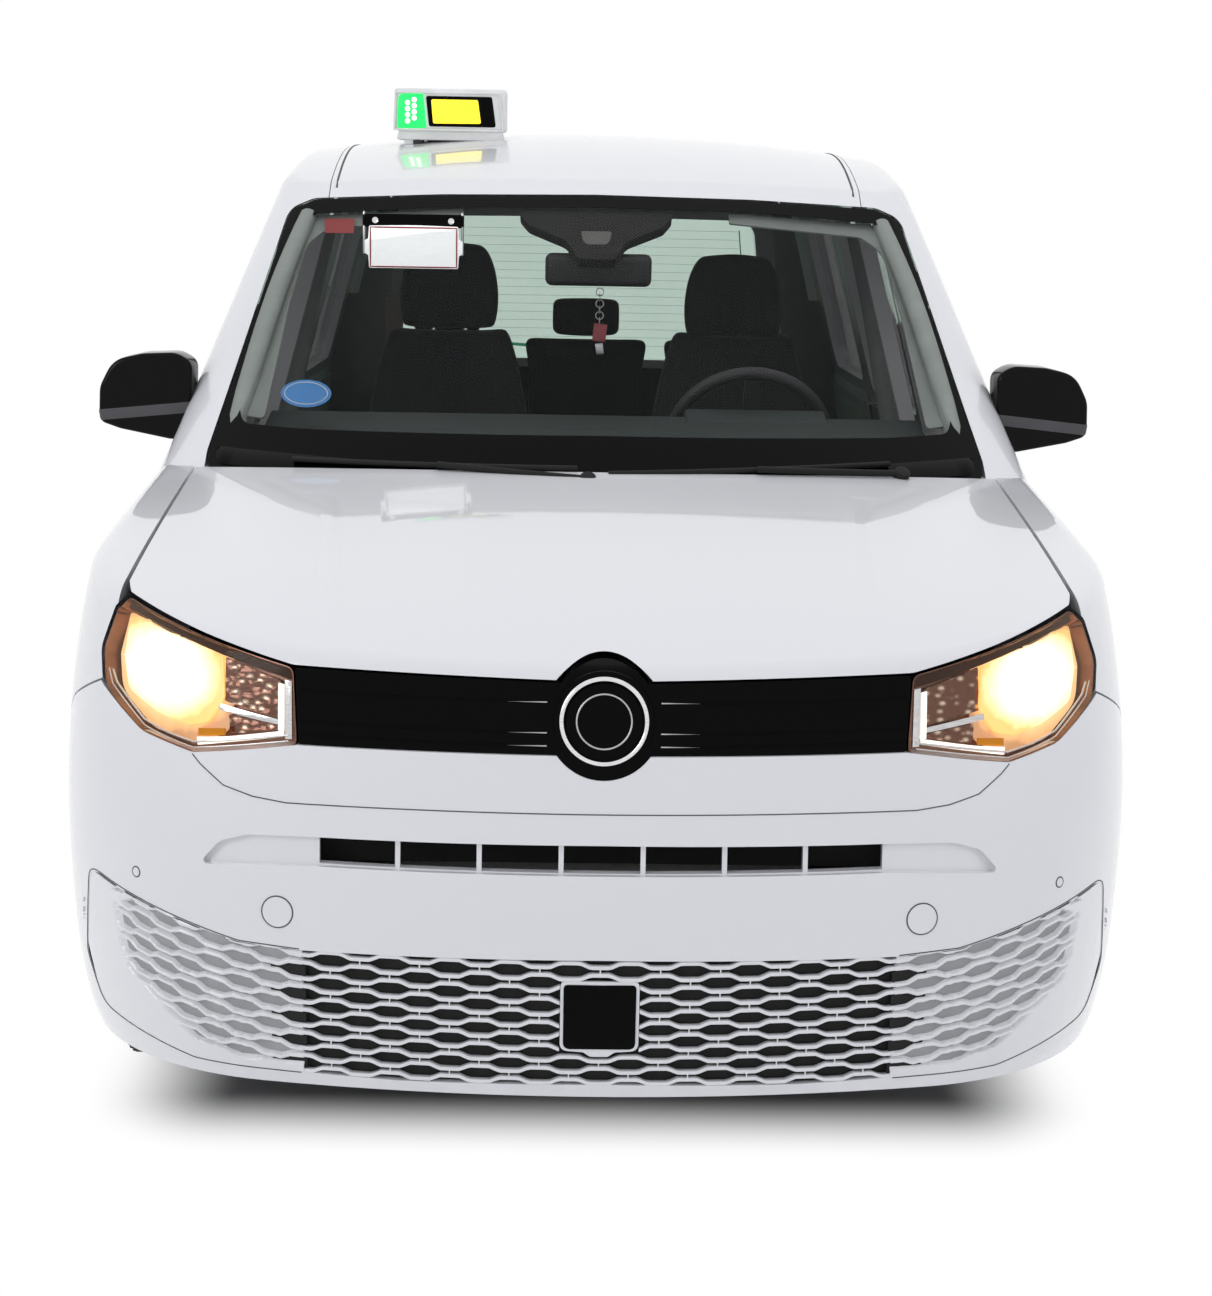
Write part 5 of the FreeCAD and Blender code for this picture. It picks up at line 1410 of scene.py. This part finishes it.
def sideDetails():
    # handles in their cups, the driver's and the passenger's with a lock
    for name, s, z in (("front_door", 2190, 1010), ("sliding_door", 2440, 1012)):
        node, body = doors[name]
        middle = touch("left", fromNose(s), z * mm, node)
        cup = skin("left", oblong(s - 70, z - 28, s + 70, z + 24, 26), node, 0.0006, 0.0020, 0.02,
                   0.0004)
        bothSides(cup, "side_%s_handle_cup" % name, blackPlastic, body)
        x = middle[0].x
        y, high = fromNose(s), z * mm + 0.004
        grip = [block((0.013, 0.176, 0.026), (x + 0.024, y, high), 0.006, 4),
                block((0.030, 0.020, 0.022), (x + 0.010, y - 0.074, high), 0.005, 3),
                block((0.030, 0.026, 0.022), (x + 0.010, y + 0.072, high), 0.005, 3)]
        bothSides(joined(grip), "side_%s_handle" % name, bodyPaint, body)
        if name == "front_door":
            lock = facing(wheelOf(0.0085, 0.004, origin, "Y", 28, 0.0008, 0.002, 0.0006),
                          Vector((x + 0.031, y + 0.072, high)), Vector((1, 0, 0)))
            bothSides(lock, "side_door_lock", chrome, body)
    rail = skin("left", oblong(3330, 938, 4150, 966, 6), ["left_side_frame"], 0.0006, 0.0020, 0.03,
                0.0005)
    bothSides(rail, "side_door_rail", blackPlastic)
    edge = traced("left", [(fromNose(3328), 0.970), (fromNose(4154), 0.970)],
                  ["left_side_frame"], 0.0028, 0.0002, 0.03)
    bothSides(edge, "side_rail_lip", bodyPaint)
    flap = skin("left", oblong(3700, 1008, 3862, 1098, 22), ["left_side_frame"], 0.0016, 0.0026,
                0.03, 0.0008)
    settle(flap, "fuel_flap", bodyPaint)
    flapRim = [(fromNose(s), z * mm) for s, z, _ in oblong(3697, 1005, 3865, 1101, 0)]
    line = traced("left", flapRim, ["left_side_frame"], 0.0016, -0.0004, 0.02, True)
    settle(line, "fuel_flap_seam", seamShadow)
    # rubbing strips and creases along the doors
    for name, s0, s1 in (("front_door", 1330, 2300), ("sliding_door", 2342, 3276)):
        node, body = doors[name]
        strip = skin("left", oblong(s0, 520, s1, 592, 8), node, 0.007, 0.009, 0.05, 0.003)
        bothSides(strip, "side_%s_strip" % name, blackPlastic, body)
        crease = traced("left", [(fromNose(s0 + 4), 0.905), (fromNose(s1 - 4), 0.905)], node,
                        0.0045, -0.0034, 0.04)
        bothSides(crease, "side_%s_crease" % name, bodyPaint, body)
    posts = {"centre_post": ("front_door", [(2268, 1132, 4), (2312, 1132, 4), (2316, 1622, 4),
                                            (2272, 1618, 4)]),
             "slide_post": ("sliding_door", [(2330, 1132, 4), (2368, 1132, 4), (2366, 1618, 4),
                                             (2334, 1622, 4)]),
             "slide_back_post": ("sliding_door", [(3238, 1134, 4), (3280, 1134, 4), (3280, 1600, 4),
                                                  (3234, 1600, 4)])}
    for name, (door, outline) in posts.items():
        node, body = doors[door]
        cover = skin("left", outline, node, 0.0008, 0.0018, 0.05, 0.0003)
        bothSides(cover, "side_" + name, glossBlack, body)


def windowSeals():
    outlines = {"front_door_seal": (["left_front_door"], "side_door",
                                    [(1475, 1128, 30), (2256, 1128, 30), (2262, 1618, 45),
                                     (2120, 1604, 200), (1940, 1516, 200), (1480, 1195, 30)]),
                "sliding_door_seal": (["left_sliding_door"], "cab",
                                      [(2376, 1128, 35), (3228, 1128, 35), (3222, 1618, 45),
                                       (2372, 1618, 45)]),
                "quarter_seal": (["left_side_frame"], "cab",
                                 [(3392, 1140, 60), (4085, 1140, 60), (4040, 1600, 60),
                                  (3388, 1616, 50)])}
    for name, (names, body, outline) in outlines.items():
        middle = sum((Vector((fromNose(a), b * mm)) for a, b, _ in outline), Vector((0, 0)))
        middle /= len(outline)
        route = [point + (point - middle).normalized() * 0.006
                 for point in outlineOf("left", outline)]
        seal = traced("left", route, names, 0.0062, -0.0008, 0.02, True)
        bothSides(seal, "side_" + name, sealRubber, body)


def rearDetails():
    plateS = 4489
    recess = slab("rear", oblong(-262, 749, 262, 631, 6), fromNose(plateS - 1),
                  fromNose(plateS + 2), 0.001)
    settle(recess, "rear_plate_seat", blackPlastic, "tailgate")
    plate = slab("rear", oblong(-259, 745, 259, 635, 6), fromNose(plateS + 2),
                 fromNose(plateS + 4), 0.0006)
    settle(plate, "rear_plate", blankWhite, "tailgate")
    rim = [(a * mm, fromNose(plateS + 4), b * mm) for a, b, _ in oblong(-256, 742, 256, 638, 0)]
    settle(wire(along(rim, 0.03, True), 0.001, True), "rear_plate_rim", sealRubber, "tailgate")
    screws = [wheelOf(0.006, 0.004, (x, fromNose(plateS + 5), 0.690), "Y", 24, 0.0008, 0.0018,
                      0.0008) for x in (-0.140, 0.140)]
    settle(joined(screws), "rear_plate_screws", chrome, "tailgate")
    grip = skin("rear", [(-290, 800, 12), (290, 800, 12), (280, 768, 10), (-280, 768, 10)],
                ["tailgate"], 0.010, 0.014, 0.05, 0.004)
    settle(grip, "tailgate_grip", blackPlastic, "tailgate")
    lights = [block((0.040, 0.012, 0.012), (x, fromNose(4486), 0.764), 0.003, 2)
              for x in (-0.17, 0.17)]
    settle(joined(lights), "plate_lights", lampGlow, "tailgate")
    brake = skin("rear", [(-150, 1700, 8), (150, 1700, 8), (146, 1676, 8), (-146, 1676, 8)],
                 ["tailgate"], 0.0022, 0.004, 0.04, 0.001)
    settle(brake, "high_brake_light", tailRed, "tailgate")
    route = rounded([(0, 1118, 0), (632, 1118, 60), (570, 1610, 60), (0, 1616, 0)])
    seal = traced("rear", route, ["tailgate"], 0.006, -0.001, 0.02)
    bothSides(seal, "side_glass_seal", sealRubber, "tailgate")
    heater = []
    for k in range(15):
        z = 1.172 + 0.028 * k
        half = 0.560 - (z - 1.172) * 0.12
        heater.append(traced("rear", [(-half, z), (half, z)], ["tailgate_glass"], 0.0005, 0.0003,
                             0.08))
    settle(joined(heater), "heater_lines", heaterTint, "tailgate")
    ends = [traced("rear", [(side * 0.566, 1.166), (side * 0.518, 1.568)], ["tailgate_glass"],
                   0.0022, 0.0003, 0.06) for side in (1, -1)]
    settle(joined(ends), "heater_ends", heaterTint, "tailgate")
    arm = traced("rear", [(0.0, 1.150), (-0.20, 1.168), (-0.36, 1.176)], ["tailgate_glass"],
                 0.005, 0.017, 0.03)
    settle(arm, "rear_wiper_arm", blackPlastic, "tailgate")
    blade = traced("rear", [(-0.09, 1.160), (-0.42, 1.184)], ["tailgate_glass"], 0.0045, 0.006,
                   0.03)
    settle(blade, "rear_wiper_blade", sealRubber, "tailgate")
    place, normal = touch("rear", 0, 1.150, ["tailgate_glass"])
    hub = facing(wheelOf(0.020, 0.026, origin, "Y", 32, 0.005), place + normal * 0.010, normal)
    settle(hub, "rear_wiper_hub", blackPlastic, "tailgate")
    # the lamps: a white window, an amber one and a dark joint between them
    for name, z0, z1, finish in (("reverse", 985, 1065, whiteLight),
                                 ("amber", 1085, 1180, amberLens)):
        lens = skin("rear", oblong(735, z0, 868, z1, 10), ["left_tail_light"], 0.0022, 0.0024,
                    0.012, 0.0005)
        bothSides(lens, "side_tail_%s_lens" % name, finish)
    for i, z in enumerate((0.975, 1.075, 1.190)):
        joint = traced("rear", [(0.722, z), (0.895, z)], ["left_tail_light"], 0.0022, 0.0, 0.01)
        bothSides(joint, "side_tail_joint_%d" % i, glossBlack)
    for i, z in enumerate((0.885, 1.255)):
        place, normal = touch("rear", 0.800, z, ["left_tail_light"])
        ring = facing(hoop(0.038, 0.004, origin, "Y"), place + normal * 0.0005, normal)
        bothSides(ring, "side_tail_ring_%d" % i, tailDeep)
        dome = facing(wheelOf(0.030, 0.008, origin, "Y", 40, 0.003, 0.008, 0.002),
                      place + normal * 0.0005, normal)
        bothSides(dome, "side_tail_dome_%d" % i, tailDeep)
    reflector = skin("rear", [(640, 340, 8), (760, 340, 8), (756, 372, 8), (644, 372, 8)],
                     ["rear_bumper"], 0.002, 0.004, 0.03, 0.001)
    bothSides(reflector, "side_rear_reflector", tailRed)
    scuff = skin("rear", oblong(-690, 462, 690, 392, 12), ["rear_bumper"], 0.0020, 0.004, 0.06,
                 0.0015)
    settle(scuff, "rear_scuff_plate", blackPlastic)
    for i, x in enumerate((-0.60, -0.21, 0.21, 0.60)):
        place, normal = touch("rear", x, 0.432, ["rear_bumper"])
        eye = facing(wheelOf(0.011, 0.004, origin, "Y", 28, 0.0008, 0.002, 0.0008),
                     place + normal * 0.0025, normal)
        settle(eye, "rear_sensor_%d" % i, greyPlastic)
    tip = wheelOf(0.030, 0.090, (0.33, fromNose(4345), 0.228), "Y", 40, 0.003, 0.005, 0.03)
    settle(tip, "exhaust_tip", chrome)


def mudFlaps():
    for name, s in (("front", 885), ("rear", 3640)):
        flap = slab("front", [(700, 300, 12), (868, 300, 12), (868, 172, 20), (712, 172, 20)],
                    fromNose(s + 356), fromNose(s + 360), 0.001)
        bothSides(flap, "side_%s_mud_flap" % name, blackPlastic)


def cowl():
    # the dark panel under the windscreen
    strip = [(-770, 1148, 20), (0, 1126, 0), (770, 1148, 20), (760, 1118, 20), (0, 1098, 0),
             (-760, 1118, 20)]
    panel = skin("front", strip, ["windscreen"], 0.0024, 0.004, 0.04, 0.001)
    settle(panel, "cowl_panel", glossBlack)


mirrorBlack = polishedFinish("mirrorBlack", "gloss_black", (0.0015, 0.0015, 0.0015))
mirrorBlack.shader.inputs["Coat Weight"].default_value = 0.18
darkGrey = mouldedFinish("darkGrey", "dark_plastic", (0.055, 0.055, 0.06), 0.5)
heaterTint = metalFinish("heaterTint", "cast_metal", (0.30, 0.36, 0.31), 0.5, 0.3)
tailDeep = mouldedFinish("tailDeep", "tail_lens", (0.22, 0.006, 0.008), 0.2)
mirrors()
roofSign()
roofDetails()
print("roof made")
sideDetails()
windowSeals()
print("sides made")
rearDetails()
mudFlaps()
cowl()
print("back made")


# wheels
wheel = {"radius": 0.326, "cap": 0.030, "bolt": 0.0105, "boltCircle": 0.056, "valve": 0.176,
         "bands": (0.232, 0.262), "ticks": 0.2925, "treadRows": 60}
# place behind the nose, inner and outer face
wheelPlaces = {"front_left": (885, 682, 888), "rear_left": (3640, 698, 902)}


def onWheels(piece, corner, name, finish):
    # the same piece on the left wheel and the right one
    for make, side in ((settle, "left"), (twin, "right")):
        here = corner.replace("left", side)
        make(piece, here + "_" + name, finish, here + "_wheel")


def tread(s, low, high):
    # rows of blocks round the tyre
    bars = []
    width = (high - low) * mm
    centre = (high + low) / 2 * mm
    lanes = ((-0.36, 0.030), (-0.13, 0.034), (0.13, 0.034), (0.36, 0.030))
    for lane, (offset, wide) in enumerate(lanes):
        # sunk a little so that it grows out of the tyre
        bar = block((wide, 0.0205, 0.006), (centre + offset * width, 0, wheel["radius"] - 0.0022),
                    0.0016, 1, (0, 0, 24 if lane < 2 else -24))
        turn = Matrix.Rotation(math.radians(3 * (lane % 2)), 4, "X")
        bar.data.transform(turn)
        bars.append(bar)
    unit = joined(bars)
    ring = []
    for k in range(wheel["treadRows"]):
        other = copyOf(unit)
        other.data.transform(Matrix.Rotation(2 * math.pi * k / wheel["treadRows"], 4, "X"))
        ring.append(other)
    bpy.data.objects.remove(unit, do_unlink=True)
    whole = joined(ring)
    whole.data.transform(Matrix.Translation((0, fromNose(s), wheel["radius"])))
    outward(whole)
    return whole


def wheelPieces(corner):
    s, low, high = wheelPlaces[corner]

    def pair(piece, name, finish):
        onWheels(piece, corner, name, finish)

    pair(tread(s, low, high), "tread", tyreRubber)
    hub = Vector((0, fromNose(s), wheel["radius"]))
    reach = touch("left", fromNose(s), wheel["radius"] + 0.012, [corner + "_rim"])[0].x
    # two raised bands and a row of ticks on the sidewall
    bands = []
    for radius in wheel["bands"]:
        met = touch("left", fromNose(s), wheel["radius"] + radius, [corner + "_tyre"])
        bands.append(hoop(radius, 0.0022, (met[0].x - 0.0008, hub.y, hub.z), "X", segments=96))
    pair(joined(bands), "sidewall_bands", tyreRubber)
    ticks = []
    for k in range(36):
        turn = 2 * math.pi * k / 36
        y = hub.y + wheel["ticks"] * math.cos(turn)
        z = hub.z + wheel["ticks"] * math.sin(turn)
        met = touch("left", y, z, [corner + "_tyre"])
        tick = block((0.003, 0.003, 0.018), origin, 0.001, 1)
        tick.data.transform(Matrix.Rotation(turn - math.pi / 2, 4, "X"))
        tick.data.transform(Matrix.Translation(met[0]))
        ticks.append(tick)
    pair(joined(ticks), "sidewall_ticks", tyreRubber)
    cap = wheelOf(wheel["cap"], 0.012, (reach + 0.004, hub.y, hub.z), "X", 48, 0.002, 0.005, 0.0015)
    pair(cap, "centre_cap", satinSilver)
    bolts, seats = [], []
    for k in range(5):
        turn = 2 * math.pi * (k + 0.5) / 5
        y = hub.y + wheel["boltCircle"] * math.sin(turn)
        z = hub.z + wheel["boltCircle"] * math.cos(turn)
        met = touch("left", y, z, [corner + "_rim"])
        bolts.append(wheelOf(wheel["bolt"], 0.016, (met[0].x + 0.004, y, z), "X", 6, 0.0012, 0.003,
                             0.002))
        seats.append(wheelOf(wheel["bolt"] * 1.45, 0.004, (met[0].x + 0.001, y, z), "X", 28,
                             0.0008))
    pair(joined(bolts), "bolts", steel)
    pair(joined(seats), "bolt_seats", castIron)
    turn = math.radians(64)
    y = hub.y + wheel["valve"] * math.sin(turn)
    z = hub.z + wheel["valve"] * math.cos(turn)
    met = touch("left", y, z, [corner + "_rim"])
    x = met[0].x if met else high * mm - 0.02
    valve = wire([(x - 0.002, y, z), (x + 0.018, y, z)], 0.0038)
    pair(valve, "valve", sealRubber)


def brakes(corner):
    # the disc turns with the wheel, the caliper stays behind it
    brake = {"inset": 0.088, "disc": 0.138, "hat": 0.052, "caliper": (0.034, 0.060, 0.110)}
    s, low, _ = wheelPlaces[corner]
    x, y, z = low * mm + brake["inset"], fromNose(s), wheel["radius"]
    disc = wheelOf(brake["disc"], 0.020, (x, y, z), "X", 72, 0.0015, brake["hat"], 0.003)
    onWheels(disc, corner, "disc", satinSilver)
    # its outer face stays 4 mm inside the wheel's own flange
    caliper = block(brake["caliper"], (x - 0.006, y + 0.118, z + 0.020), 0.010, 3, (10, 0, 0))
    carrier = "side_knuckle" if corner.startswith("front") else "cab"
    bothSides(caliper, corner.replace("left", "side") + "_caliper", castIron, carrier)


for corner in wheelPlaces:
    wheelPieces(corner)
    brakes(corner)
print("wheels made")
for name, hidden in standIns:
    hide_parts(*hidden)
